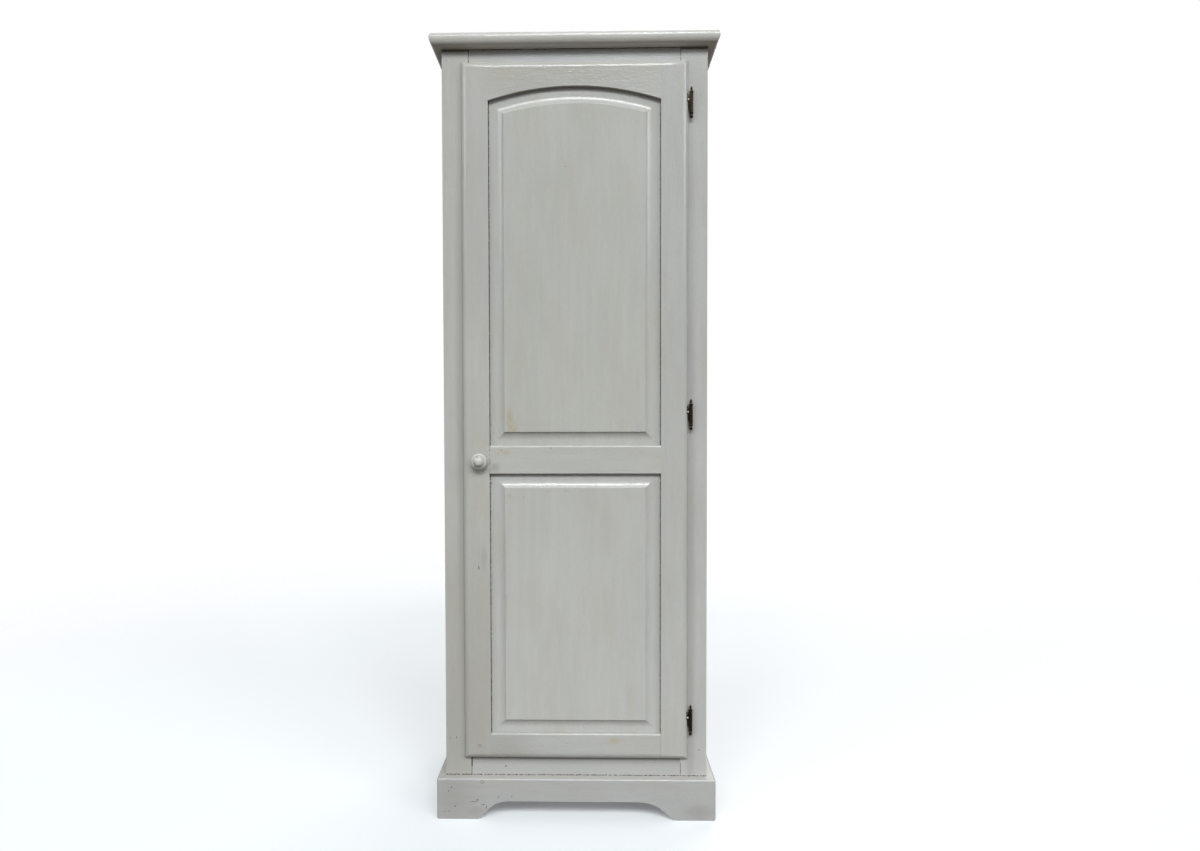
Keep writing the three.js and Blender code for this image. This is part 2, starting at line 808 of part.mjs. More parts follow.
// Strike plate and its screw on the back of the left stile, facing the magnet
const strikeCentre = (catchTop + catchBottom) / 2;

function strikeScrew(room) {
  const screw = countersunkScrew(
    catchScrewRadius + room, catchScrewHeadRadius + room, catchScrewHeadHeight, strikeScrewLength + room,
  );
  return forwards(screw, strikeBack).translate(0, 0, strikeCentre);
}

const strikePlate = cut(
  block(
    catchSpanX,
    [doorTongueDepth, strikeBack],
    [strikeCentre - strikeHeight / 2, strikeCentre + strikeHeight / 2],
  ),
  strikeScrew(jointClearance),
);
addPart(door, 'catch_strike_plate', strikePlate, zincSteel);
addPart(door, 'strike_screw', strikeScrew(0), zincSteel);

// Hinge blade let into the door's edge, with the oval cheek that shows beside the barrel
function doorBlade(split, room) {
  const spanY = [hingeY - bladeThickness - room, hingeY + room];
  const blade = block(
    [hingeX - doorBladeReach - room, hingeX],
    spanY,
    [split - room, split + doorBladeHeight + room],
  );
  const cheek = prismAlongY(
    arc(
      hingeX, split, cheekReach + room, cheekHalfHeight + room,
      Math.PI / 2, Math.PI * 3 / 2, cheekSteps,
    ),
    spanY,
  );
  return join(blade, cheek);
}

const leftStileBores = [knobScrew(jointClearance), strikeScrew(jointClearance)];
const rightStileSlots = hingeSplits.map((split) => doorBlade(split, jointClearance));
addPart(door, 'door_left_stile', doorStile(-1, leftStileBores), greyPaint);
addPart(door, 'door_right_stile', doorStile(1, rightStileSlots), greyPaint);

// Door panels: a tongue all round, a flat border, a hollow cove and the raised field
const fieldFront = fieldSetback - doorLipThickness;
const coveRise = panelFront - fieldFront - fieldStep;
const coveRadius = (coveWidth ** 2 + coveRise ** 2) / (2 * coveRise);
const coveSweep = Math.asin(coveWidth / coveRadius);

function panelRings(outlineAt, tongueOutline) {
  const rings = [
    { outline: tongueOutline, depth: panelBack },
    { outline: tongueOutline, depth: panelFront },
  ];
  for (let step = 0; step <= coveSteps; step += 1) {
    const angle = coveSweep * step / coveSteps;
    const outline = outlineAt(coveWidth - coveRadius * Math.sin(angle));
    rings.push({ outline, depth: panelFront - coveRadius * (1 - Math.cos(angle)) });
  }
  rings.push({ outline: outlineAt(-fieldStepSlope), depth: fieldFront });
  return rings.map(({ outline, depth }) => outline.map(([x, z]) => [x, depth, z]));
}

// Outlines run once round, seen from the front, from the bottom left corner
function archedOutline(half, bottom, radius) {
  return [[-half, bottom], [half, bottom], ...archLine(radius, half)];
}

function squareOutline(half, bottom, top) {
  return [[-half, bottom], [half, bottom], [half, top], [-half, top]];
}

const fieldHalf = panelOpeningHalf - fieldSideMargin;
const tongueHalfWidth = panelOpeningHalf + panelTongueReach;
const upperPanel = loft(panelRings(
  (offset) => archedOutline(
    fieldHalf + offset,
    middleRailTop + fieldEndMargin - offset,
    archRadius - fieldArchMargin + offset,
  ),
  archedOutline(tongueHalfWidth, middleRailTop - panelTongueReach, archRadius + panelTongueReach),
));
const lowerPanel = loft(panelRings(
  (offset) => squareOutline(
    fieldHalf + offset,
    bottomRailInner + fieldEndMargin - offset,
    doorMiddleRailBottom - fieldEndMargin + offset,
  ),
  squareOutline(
    tongueHalfWidth,
    bottomRailInner - panelTongueReach,
    doorMiddleRailBottom + panelTongueReach,
  ),
));
addPart(door, 'upper_door_panel', upperPanel, greyPaint);
addPart(door, 'lower_door_panel', lowerPanel, greyPaint);

// Hinges: two turned halves with finials, each with a blade, on one loose pin
const upperFinialShares = [
  [1.09, 1.01], [1.09, 1.17], [0.62, 1.2], [0.5, 1.27], [0.6, 1.36], [0.66, 1.46], [0.5, 1.6],
];
const lowerFinialShares = [
  [0.88, 1.02], [0.88, 1.11], [1.05, 1.13], [1.05, 1.24], [0.72, 1.34], [0.68, 1.38],
  [0.88, 1.5], [0.84, 1.62], [0.52, 1.73],
];
const upperTipShare = 1.69;
const lowerTipShare = 1.77;

// One half's profile, measured along the barrel away from the split
function hingeProfile(length, shares, tipShare) {
  return [
    [0, hingeGap / 2],
    [knuckleRadius, hingeGap / 2],
    [knuckleRadius, length],
    ...shares.map(([radial, along]) => [radial * knuckleRadius, along * length]),
    [0, tipShare * length],
  ];
}

const upperBarrel = hingeProfile(upperKnuckleLength, upperFinialShares, upperTipShare);
const lowerBarrel = hingeProfile(lowerKnuckleLength, lowerFinialShares, lowerTipShare)
  .map(([radius, along]) => [radius, -along])
  .reverse();

function rod(radius, [bottom, top]) {
  const geometry = new THREE.CylinderGeometry(radius, radius, top - bottom, hingeSteps);
  return geometry.rotateX(Math.PI / 2).translate(0, 0, (bottom + top) / 2);
}

function onHinge(geometry, split) {
  return geometry.translate(hingeX, hingeY, split);
}

const boreRadius = hingePinRadius + pinClearance;
for (const [name, split] of Object.entries(hingeSplitHeights)) {
  const runningRoom = onHinge(
    rod(knuckleRadius + jointClearance, [-cheekHalfHeight - overrun, hingeGap / 2]),
    split,
  );
  const upperBore = onHinge(rod(boreRadius, [-overrun, hingePinReach + jointClearance]), split);
  const lowerBore = onHinge(rod(boreRadius, [-hingePinReach, overrun]), split);
  const doorHalf = cut(
    join(
      onHinge(turned(upperBarrel, hingeSteps), split),
      cut(doorBlade(split, 0), runningRoom),
    ),
    upperBore,
  );
  const frameHalf = cut(
    join(onHinge(turned(lowerBarrel, hingeSteps), split), frameBlade(split, 0)),
    lowerBore,
  );
  addPart(door, `${name}_hinge_door_half`, doorHalf, agedBronze);
  addPart(carcass, `${name}_hinge_frame_half`, frameHalf, agedBronze);
  const pin = onHinge(rod(hingePinRadius, [-hingePinReach, hingePinReach]), split);
  addPart(carcass, `${name}_hinge_pin`, pin, zincSteel);
}

export default cabinet;
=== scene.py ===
import math

import bmesh
import bpy
from mathutils import Matrix, Vector


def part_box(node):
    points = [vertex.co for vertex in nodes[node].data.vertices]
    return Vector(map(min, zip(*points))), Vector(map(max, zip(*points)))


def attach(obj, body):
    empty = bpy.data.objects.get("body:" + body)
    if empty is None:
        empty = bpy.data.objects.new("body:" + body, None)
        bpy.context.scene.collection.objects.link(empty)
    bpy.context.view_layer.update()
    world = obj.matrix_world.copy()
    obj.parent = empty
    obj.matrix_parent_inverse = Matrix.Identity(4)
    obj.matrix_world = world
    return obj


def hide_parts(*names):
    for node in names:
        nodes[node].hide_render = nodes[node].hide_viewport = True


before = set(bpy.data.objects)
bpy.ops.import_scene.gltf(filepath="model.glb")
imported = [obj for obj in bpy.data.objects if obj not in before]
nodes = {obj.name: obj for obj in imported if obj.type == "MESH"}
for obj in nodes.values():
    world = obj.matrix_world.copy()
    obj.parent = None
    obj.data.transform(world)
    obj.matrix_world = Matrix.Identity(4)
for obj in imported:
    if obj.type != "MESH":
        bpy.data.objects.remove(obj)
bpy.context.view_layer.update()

# Camera: a wide lens level with the middle of the door, 1.85 m in front of the face frame and
# turned very slightly down and to the left. The picture's middle isn't the lens's axis, so the
# two shifts put it back.
frame_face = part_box("left_frame_stile")[0].y
picture_width, picture_height = 1200, 851
lens_axis_u, lens_axis_v = 572, 433
focal_pixels = 760.4
camera_distance, camera_side, camera_height = 1.850, 0.0285, 0.9929
camera_yaw, camera_pitch, camera_roll = -0.0195, -0.02644, -0.0025

lens = bpy.data.cameras.new("camera")
lens.sensor_width = 36
lens.lens = focal_pixels * lens.sensor_width / picture_width
lens.shift_x = (picture_width / 2 - lens_axis_u) / picture_width
lens.shift_y = (lens_axis_v - picture_height / 2) / picture_width
camera = bpy.data.objects.new("camera", lens)
turn = (
    Matrix.Rotation(-camera_yaw, 4, "Z")
    @ Matrix.Rotation(math.pi / 2 + camera_pitch, 4, "X")
    @ Matrix.Rotation(camera_roll, 4, "Z")
)
camera.matrix_world = Matrix.Translation((camera_side, frame_face - camera_distance, camera_height)) @ turn
bpy.context.scene.collection.objects.link(camera)
bpy.context.scene.camera = camera
bpy.context.scene.view_settings.view_transform = "Standard"


# Light: three soft lamps in front at about the same height, a wider and lower one further round on
# each side, one behind for the back, and the pale room's own glow, bluer above and warmer below.
def linear(code):
    """An sRGB hex colour as the linear one that a shader takes."""
    parts = [int(code[i : i + 2], 16) / 255 for i in (1, 3, 5)]
    return (*[c / 12.92 if c <= 0.04045 else ((c + 0.055) / 1.055) ** 2.4 for c in parts], 1)


def add_node(tree, kind, settings=None, links=None):
    """Adds a node. Settings are its properties or its inputs' values, and links are its inputs'
    sources, where a node stands for its first output."""
    node = tree.nodes.new(kind)
    for key, value in (settings or {}).items():
        if isinstance(key, int) or key in node.inputs:
            node.inputs[key].default_value = value
        else:
            setattr(node, key, value)
    for key, source in (links or {}).items():
        if isinstance(source, bpy.types.Node):
            source = source.outputs[0]
        tree.links.new(source, node.inputs[key])
    return node


def soft_lamp(name, azimuth, elevation, spread, strength, colour):
    """A lamp far away. Azimuth runs from the front to the right, and spread is its width, in degrees."""
    data = bpy.data.lights.new(name, "SUN")
    data.energy = strength
    data.angle = math.radians(spread)
    data.color = linear(colour)[:3]
    lamp = bpy.data.objects.new(name, data)
    a, e = math.radians(azimuth), math.radians(elevation)
    towards = Vector((math.sin(a) * math.cos(e), -math.cos(a) * math.cos(e), math.sin(e)))
    lamp.rotation_euler = towards.to_track_quat("Z", "Y").to_euler()
    bpy.context.scene.collection.objects.link(lamp)


daylight, warm_white = "#fbfeff", "#fff8ee"
soft_lamp("left_lamp", -25, 42, 16, 0.56, daylight)
soft_lamp("right_lamp", 25, 42, 16, 0.74, daylight)
soft_lamp("front_lamp", 2, 44, 18, 1.2, daylight)
soft_lamp("left_side_lamp", -52, 26, 28, 0.66, daylight)
soft_lamp("right_side_lamp", 52, 26, 28, 0.85, daylight)
soft_lamp("back_lamp", 160, 38, 40, 0.9, warm_white)

room = bpy.data.worlds.new("pale_room")
room.use_nodes = True
sky = room.node_tree
sky.nodes.clear()
mirror_gain = 2.4  # how much of the room's strength is added where gloss mirrors it
direction = add_node(sky, "ShaderNodeTexCoord")
height = add_node(sky, "ShaderNodeSeparateXYZ", links={0: direction.outputs["Generated"]})
warmth = add_node(
    sky, "ShaderNodeMapRange", {"From Min": -0.35, "From Max": 0.25}, {"Value": height.outputs["Z"]}
)
glow = add_node(
    sky, "ShaderNodeMapRange", {"From Min": -0.6, "From Max": 0.7, "To Min": 0.05, "To Max": 0.2},
    {"Value": height.outputs["Z"]},
)
air = add_node(
    sky, "ShaderNodeMix", {"data_type": "RGBA", 6: linear("#f4e4d0"), 7: linear("#e6eeff")}, {0: warmth}
)
seen = add_node(sky, "ShaderNodeLightPath")
mirrored = add_node(
    sky, "ShaderNodeMath", {"operation": "MULTIPLY_ADD", 1: mirror_gain, 2: 1},
    {0: seen.outputs["Is Glossy Ray"]},
)
strength = add_node(sky, "ShaderNodeMath", {"operation": "MULTIPLY"}, {0: glow, 1: mirrored})
room_light = add_node(sky, "ShaderNodeBackground", links={"Color": air.outputs[2], "Strength": strength})
room_seen = add_node(sky, "ShaderNodeBackground", {"Color": linear("#ffffff")})
either = add_node(
    sky, "ShaderNodeMixShader", links={0: seen.outputs["Is Camera Ray"], 1: room_light, 2: room_seen}
)
add_node(sky, "ShaderNodeOutputWorld", links={"Surface": either})
bpy.context.scene.world = room


# Floor: a plain matt white studio floor that fades into the pale room a few metres out. It belongs
# to the studio and isn't part of the cabinet.
def new_material(name):
    """A material with nothing in its node tree but the piece's own coordinates."""
    material = bpy.data.materials.new(name)
    material.use_nodes = True
    tree = material.node_tree
    tree.nodes.clear()
    return material, tree, add_node(tree, "ShaderNodeTexCoord")


def matt_white_floor():
    """Matt white paint, opaque near the object and clear at the rim. It throws less light back than
    it shows, and glows a little where it is seen, as a floor does that is lit from all round."""
    own_glow = 0.18
    material, tree, place = new_material("matt_white_floor")
    distance = add_node(
        tree, "ShaderNodeVectorMath", {"operation": "LENGTH"}, {0: place.outputs["Object"]}
    )
    fade = add_node(
        tree, "ShaderNodeMapRange",
        {"interpolation_type": "SMOOTHSTEP", "From Min": fade_radius, "From Max": floor_radius},
        {"Value": distance.outputs["Value"]},
    )
    seen = add_node(tree, "ShaderNodeLightPath")
    colour = add_node(
        tree, "ShaderNodeMix", {"data_type": "RGBA", 6: linear("#706a64"), 7: linear("#e2e5e6")},
        {0: seen.outputs["Is Camera Ray"]},
    )
    lift = add_node(
        tree, "ShaderNodeMath", {"operation": "MULTIPLY", 1: own_glow}, {0: seen.outputs["Is Camera Ray"]}
    )
    paint = add_node(
        tree, "ShaderNodeBsdfPrincipled", {"Roughness": 0.6, "Emission Color": linear("#f7fbff")},
        {"Base Color": colour.outputs[2], "Emission Strength": lift},
    )
    clear = add_node(tree, "ShaderNodeBsdfTransparent")
    mixed = add_node(tree, "ShaderNodeMixShader", links={0: fade, 1: paint, 2: clear})
    add_node(tree, "ShaderNodeOutputMaterial", links={"Surface": mixed})
    return material


def new_piece(name, vertices, faces, material):
    """An object with this mesh and material, in the scene."""
    mesh = bpy.data.meshes.new(name)
    mesh.from_pydata([tuple(v) for v in vertices], [], [tuple(f) for f in faces])
    mesh.materials.append(material)
    mesh.update()
    piece = bpy.data.objects.new(name, mesh)
    bpy.context.scene.collection.objects.link(piece)
    return piece


def on_circle(radius, steps, z=0.0):
    """Points round a circle about the Z axis."""
    return [
        Vector((radius * math.cos(2 * math.pi * i / steps), radius * math.sin(2 * math.pi * i / steps), z))
        for i in range(steps)
    ]


floor_radius, fade_radius = 4.0, 1.4
floor_steps = 96
floor = new_piece("floor", on_circle(floor_radius, floor_steps), [range(floor_steps)], matt_white_floor())


# Boards inside and behind: planed pine, left bare. The bottom and top boards sit in housings in
# the sides, the thin back in its rebate, and the dust panel in the cornice's. The boards' edges
# are broken with a plane.
def drawn_out(tree, place, axis, across, along, detail, roughness=0.5):
    """An uneven pattern drawn out along one axis, its sizes in mm."""
    per_metre = [1000 / (along if letter == axis else across) for letter in "XYZ"]
    stretch = add_node(
        tree, "ShaderNodeMapping", {"Scale": per_metre}, {"Vector": place.outputs["Object"]}
    )
    return add_node(
        tree, "ShaderNodeTexNoise", {"Scale": 1, "Detail": detail, "Roughness": roughness},
        {"Vector": stretch},
    )


def planed_pine(name, grain):
    """Planed pine: pale wood with darker growth lines along the grain and a knot here and there.
    It is dry and matt, so the rings show as colour and hardly as gloss."""
    ring_width, ring_length, rings = 70, 1400, 17
    fibre_width, fibre_length = 1.2, 70
    knot_spacing, knot_length, knot_push = 150, 420, 0.35
    material, tree, place = new_material(name)
    field = drawn_out(tree, place, grain, ring_width, ring_length, 1.5, 0.45)
    per_metre = [1000 / (knot_length if axis == grain else knot_spacing) for axis in "XYZ"]
    spread = add_node(
        tree, "ShaderNodeMapping", {"Scale": per_metre}, {"Vector": place.outputs["Object"]}
    )
    knots = add_node(tree, "ShaderNodeTexVoronoi", {"Scale": 1, "Randomness": 1}, {"Vector": spread})
    knot = add_node(
        tree, "ShaderNodeMapRange",
        {"interpolation_type": "SMOOTHSTEP", "From Min": 0.16, "From Max": 0.03},
        {"Value": knots.outputs["Distance"]},
    )
    pushed = add_node(
        tree, "ShaderNodeMath", {"operation": "MULTIPLY_ADD", 1: knot_push}, {0: knot, 2: field}
    )
    counted = add_node(tree, "ShaderNodeMath", {"operation": "MULTIPLY", 1: rings}, {0: pushed})
    ring = add_node(tree, "ShaderNodeMath", {"operation": "FRACT"}, {0: counted})
    wood = add_node(tree, "ShaderNodeValToRGB", links={"Fac": ring})
    wood.color_ramp.elements[0].color = linear("#d9b685")
    wood.color_ramp.elements[1].position = 0.97
    wood.color_ramp.elements[1].color = linear("#d2ab78")
    late = wood.color_ramp.elements.new(0.82)
    late.color = linear("#c2955f")
    fibre = drawn_out(tree, place, grain, fibre_width, fibre_length, 3)
    fibred = add_node(
        tree, "ShaderNodeMix", {"data_type": "RGBA", "blend_type": "OVERLAY", 0: 0.35},
        {6: wood, 7: fibre.outputs["Color"]},
    )
    softened = add_node(
        tree, "ShaderNodeMix", {"data_type": "RGBA", 0: 0.25}, {6: fibred.outputs[2], 7: wood}
    )
    knotted = add_node(
        tree, "ShaderNodeMix", {"data_type": "RGBA", 7: linear("#7d4d28")},
        {0: knot, 6: softened.outputs[2]},
    )
    bump = add_node(tree, "ShaderNodeBump", {"Strength": 0.5, "Distance": 0.0002}, {"Height": fibre})
    surface = add_node(
        tree, "ShaderNodeBsdfPrincipled", {"Roughness": 0.62, "IOR": 1.5},
        {"Base Color": knotted.outputs[2], "Normal": bump},
    )
    add_node(tree, "ShaderNodeOutputMaterial", links={"Surface": surface})
    return material


sharp_angle = math.radians(30)


def smooth_by_angle():
    """A modifier tree that shades smooth and keeps edges over 30 degrees sharp."""
    group = bpy.data.node_groups.new("smooth_by_angle", "GeometryNodeTree")
    group.interface.new_socket("Geometry", in_out="INPUT", socket_type="NodeSocketGeometry")
    group.interface.new_socket("Geometry", in_out="OUTPUT", socket_type="NodeSocketGeometry")
    shape = add_node(group, "NodeGroupInput")
    angle = add_node(group, "GeometryNodeInputMeshEdgeAngle")
    sharp = add_node(
        group, "FunctionNodeCompare", {"operation": "LESS_EQUAL", "B": sharp_angle}, {"A": angle}
    )
    faces = add_node(
        group, "GeometryNodeSetShadeSmooth", {"domain": "FACE", "Shade Smooth": True},
        {"Geometry": shape},
    )
    edges = add_node(
        group, "GeometryNodeSetShadeSmooth", {"domain": "EDGE"},
        {"Geometry": faces, "Shade Smooth": sharp},
    )
    add_node(group, "NodeGroupOutput", links={0: edges})
    return group


shading = smooth_by_angle()


def keep_flats(piece):
    """Keeps flat faces flat to the eye where they meet a rounded edge."""
    weigh = piece.modifiers.new("flats", "WEIGHTED_NORMAL")
    weigh.keep_sharp = True


def ease_edges(piece, radius):
    """Rounds a piece's edges and shades its curves smooth, by modifiers that leave its mesh alone."""
    joined = piece.modifiers.new("one_corner", "WELD")
    joined.merge_threshold = 0.00001
    flat = piece.modifiers.new("whole_faces", "DECIMATE")
    flat.decimate_type = "DISSOLVE"
    flat.angle_limit = math.radians(0.4)
    rounded = piece.modifiers.new("eased", "BEVEL")
    rounded.width = radius
    rounded.segments = 3
    rounded.limit_method = "ANGLE"
    rounded.angle_limit = sharp_angle
    shade = piece.modifiers.new("smooth", "NODES")
    shade.node_group = shading
    keep_flats(piece)


def finish_node(name, material, radius):
    """Gives a piece of the CAD model its material and eases its edges."""
    piece = nodes[name]
    piece.material_slots[0].link = "OBJECT"
    piece.material_slots[0].material = material
    ease_edges(piece, radius)


pine_across = planed_pine("planed_pine_across", "X")
pine_upright = planed_pine("planed_pine_upright", "Z")
pine_deep = planed_pine("planed_pine_front_to_back", "Y")
broken_edge = 0.0008
thin_edge = 0.0005
for name in ("bottom_board", "top_board", "rear_base_rail", "cornice_back_rail"):
    finish_node(name, pine_across, broken_edge)
finish_node("cornice_top_panel", pine_across, thin_edge)
finish_node("back_panel", pine_upright, thin_edge)
for side in ("left", "right"):
    finish_node(f"{side}_corner_block", pine_upright, broken_edge)


# Shelves: four loose pine boards, each resting on a pair of cleats that are glued and pinned to
# the sides.
shelf_edge = 0.0015
shelf_names = sorted(name for name in nodes if name.startswith("shelf_") and "cleat" not in name)
for name in shelf_names:
    finish_node(name, pine_across, shelf_edge)
    for side in ("left", "right"):
        finish_node(f"{name}_{side}_cleat", pine_deep, broken_edge)


# Sides: two painted pine boards behind the face frame, housed for the bottom and top boards and
# rebated for the back. Their satin paint was brushed on upright.
def satin_grey_paint(
    where, brushed, tint="#b6b5af", stains=(), pits=(), scuffs=(), grime=(), plugs=(), seams=(),
    level_seams=(), bands=(),
):
    """Satin alkyd paint, warm light grey, brushed on bare wood. It keeps faint brush ridges that
    break up its gloss, and its tone wanders where the coat is thinner. Its upward faces are paler
    and warmer, partly from dust and partly as painted light from above.
    The ridges are drawn somewhat coarser than real ones, so that they show.
    Stains, pits and darker patches are (x, z, half width, half height) in mm on the piece's front:
    yellow stains from under the paint, dark holes and nicks, darker places (some grubby, some
    painted shade), and painted shade along and under the door's rounded lip. Plugs are (x, z,
    radius) of filled screw holes. Seams are (place, half width, bareness) of cracked joints, upright
    or level, and bands (low z, high z) are painted dark across the face."""
    tone_size, smudge_width, smudge_length = 150, 16, 170
    fleck_size, fleck_share = 6, 0.6
    thin_width, thin_length = 45, 130
    speckle_width, speckle_length = 2.5, 4
    ragged_size, ragged_reach = 5.5556, 3
    crack_length = 6.25
    ridge_width, ridge_length = 2.4, 45
    peel_size, peel_share = 4.5, 1.6
    material, tree, place = new_material(f"satin_grey_paint_{where}")

    def worked(across, along, detail, roughness=0.5):
        """An uneven pattern drawn out along the brush strokes."""
        return drawn_out(tree, place, brushed, across, along, detail, roughness)

    tone = worked(tone_size, 2 * tone_size, 2)
    smudged = add_node(
        tree, "ShaderNodeMath", {"operation": "ADD"}, {0: tone, 1: worked(smudge_width, smudge_length, 3)}
    )
    flecked = add_node(
        tree, "ShaderNodeMath", {"operation": "MULTIPLY_ADD", 1: fleck_share},
        {0: worked(fleck_size, 3 * fleck_size, 2), 2: smudged},
    )
    paler = add_node(
        tree, "ShaderNodeMapRange", {"From Min": 0.9, "From Max": 1.7, "To Min": 0.945, "To Max": 1.055},
        {"Value": flecked},
    )
    coat = add_node(
        tree, "ShaderNodeVectorMath", {"operation": "SCALE", 0: linear(tint)[:3]}, {"Scale": paler}
    )

    def over(coat, mask, code, strength):
        """The coat with this colour over it where the mask is."""
        share = add_node(tree, "ShaderNodeMath", {"operation": "MULTIPLY", 1: strength}, {0: mask})
        return add_node(
            tree, "ShaderNodeMix", {"data_type": "RGBA", 7: linear(code)}, {0: share, 6: coat}
        ).outputs[2]

    thin = add_node(
        tree, "ShaderNodeMapRange",
        {"interpolation_type": "SMOOTHSTEP", "From Min": 0.4, "From Max": 0.85},
        {"Value": worked(thin_width, thin_length, 2)},
    )
    coat = over(coat, thin, "#aba183", 0.2)
    # Upward faces turn paler and warmer: partly dust, partly painted light from above.
    upward = add_node(tree, "ShaderNodeSeparateXYZ", links={0: place.outputs["Normal"]})
    dust_and_top_light = add_node(
        tree, "ShaderNodeMapRange", {"From Min": 0.85, "From Max": 0.98}, {"Value": upward.outputs["Z"]}
    )
    coat = over(coat, dust_and_top_light, "#bdb6ab", 0.4)
    millimetres = add_node(
        tree, "ShaderNodeVectorMath", {"operation": "SCALE", "Scale": 1000}, {0: place.outputs["Object"]}
    )
    ragged = add_node(
        tree, "ShaderNodeTexNoise", {"Scale": 1000 / ragged_size, "Detail": 3},
        {"Vector": place.outputs["Object"]},
    )
    raggedness = add_node(
        tree, "ShaderNodeVectorMath", {"operation": "MULTIPLY_ADD", 1: (ragged_reach, 0, ragged_reach)},
        {0: ragged.outputs["Color"], 2: millimetres},
    )
    moved = add_node(
        tree, "ShaderNodeVectorMath",
        {"operation": "SUBTRACT", 1: (ragged_reach / 2, 0, ragged_reach / 2)},
        {0: raggedness},
    )

    def reach_from(x, z, half_width, half_height):
        """How far out a place lies from a patch's middle: 1 at the patch's ragged edge."""
        offset = add_node(
            tree, "ShaderNodeVectorMath", {"operation": "SUBTRACT", 1: (x, 0, z)}, {0: moved}
        )
        scaled = add_node(
            tree, "ShaderNodeVectorMath", {"operation": "MULTIPLY", 1: (1 / half_width, 0, 1 / half_height)},
            {0: offset},
        )
        reach = add_node(tree, "ShaderNodeVectorMath", {"operation": "LENGTH"}, {0: scaled})
        return reach.outputs["Value"]

    def patches(places, soft):
        """A mask of patches, with edges this soft."""
        mask = None
        for spot in places:
            patch = add_node(
                tree, "ShaderNodeMapRange",
                {"interpolation_type": "SMOOTHSTEP", "From Min": 1 + soft, "From Max": 1 - soft},
                {"Value": reach_from(*spot)},
            )
            if mask:
                patch = add_node(tree, "ShaderNodeMath", {"operation": "MAXIMUM"}, {0: mask, 1: patch})
            mask = patch
        return mask

    # Darker places: grubby spots and joints, and painted shade beside the door's lip and below the knob.
    if scuffs:
        coat = over(coat, patches(scuffs, 0.9), "#8b8680", 0.35)
    # Painted shade, darker still, on and under the door's rounded lip.
    if grime:
        coat = over(coat, patches(grime, 0.9), "#5f5a54", 0.6)
    if stains:
        speckle = add_node(
            tree, "ShaderNodeMapRange", {"From Min": 0.42, "From Max": 0.6, "To Min": 0.25},
            {"Value": worked(speckle_width, speckle_length, 2, 0.6)},
        )
        speckled = add_node(
            tree, "ShaderNodeMath", {"operation": "MULTIPLY"}, {0: patches(stains, 0.7), 1: speckle}
        )
        coat = over(coat, speckled, "#a8915a", 0.55)
    for x, z, radius in plugs:
        off_ring = add_node(
            tree, "ShaderNodeMath", {"operation": "SUBTRACT", 1: 1}, {0: reach_from(x, z, radius, radius)}
        )
        beside = add_node(tree, "ShaderNodeMath", {"operation": "ABSOLUTE"}, {0: off_ring})
        ring = add_node(
            tree, "ShaderNodeMapRange",
            {"interpolation_type": "SMOOTHSTEP", "From Min": 0.45, "From Max": 0.1},
            {"Value": beside},
        )
        coat = over(coat, ring, "#7d6650", 0.6)
    if pits:
        coat = over(coat, patches(pits, 0.3), "#3a302b", 0.85)
    apart = add_node(tree, "ShaderNodeSeparateXYZ", links={0: millimetres})
    wavering = add_node(tree, "ShaderNodeSeparateXYZ", links={0: moved})
    joints = [("X", "Z", *seam) for seam in seams] + [("Z", "X", *seam) for seam in level_seams]
    for across, along, centre, half_width, bareness in joints:
        breaks = add_node(
            tree, "ShaderNodeTexNoise",
            {"noise_dimensions": "1D", "Scale": 1 / crack_length, "Detail": 3, "Roughness": 0.7},
            {"W": apart.outputs[along]},
        )
        whole = 0.62 - 0.3 * bareness
        width = add_node(
            tree, "ShaderNodeMapRange", {"From Min": whole, "From Max": whole + 0.16, "To Max": half_width},
            {"Value": breaks},
        )
        away = add_node(
            tree, "ShaderNodeMath", {"operation": "SUBTRACT", 1: centre}, {0: wavering.outputs[across]}
        )
        distance = add_node(tree, "ShaderNodeMath", {"operation": "ABSOLUTE"}, {0: away})
        crack = add_node(tree, "ShaderNodeMath", {"operation": "LESS_THAN"}, {0: distance, 1: width})
        coat = over(coat, crack, "#40312d", 0.9)
    for low, high in bands:
        above = add_node(
            tree, "ShaderNodeMapRange", {"From Min": low - 0.8, "From Max": low + 0.8},
            {"Value": wavering.outputs["Z"]},
        )
        below = add_node(
            tree, "ShaderNodeMapRange", {"From Min": high + 1, "From Max": high},
            {"Value": apart.outputs["Z"]},
        )
        band = add_node(tree, "ShaderNodeMath", {"operation": "MULTIPLY"}, {0: above, 1: below})
        coat = over(coat, band, "#5d523d", 0.8)
    relief = add_node(
        tree, "ShaderNodeMath", {"operation": "MULTIPLY_ADD", 1: peel_share},
        {0: worked(peel_size, 1.6 * peel_size, 1), 2: worked(ridge_width, ridge_length, 2)},
    )
    bump = add_node(tree, "ShaderNodeBump", {"Strength": 1, "Distance": 0.00024}, {"Height": relief})
    gloss = add_node(
        tree, "ShaderNodeMapRange", {"From Min": 0.3, "From Max": 0.7, "To Min": 0.19, "To Max": 0.26},
        {"Value": tone},
    )
    surface = add_node(
        tree, "ShaderNodeBsdfPrincipled", {"IOR": 1.54},
        {"Base Color": coat, "Roughness": gloss, "Normal": bump},
    )
    add_node(tree, "ShaderNodeOutputMaterial", links={"Surface": surface})
    return material


paint_upright = satin_grey_paint("upright", "Z")
for side in ("left", "right"):
    finish_node(f"{side}_side_panel", paint_upright, broken_edge)


# Face frame: two pine stiles and two rails, mortised, tenoned and painted. The top rail lies a
# little behind the stiles, and the bottom rail's left joint has opened.
def paint_node(name, brushed, edge, **finish):
    """Paints a piece of the CAD model and eases its edges."""
    finish_node(name, satin_grey_paint(name.removeprefix("door_"), brushed, **finish), edge)


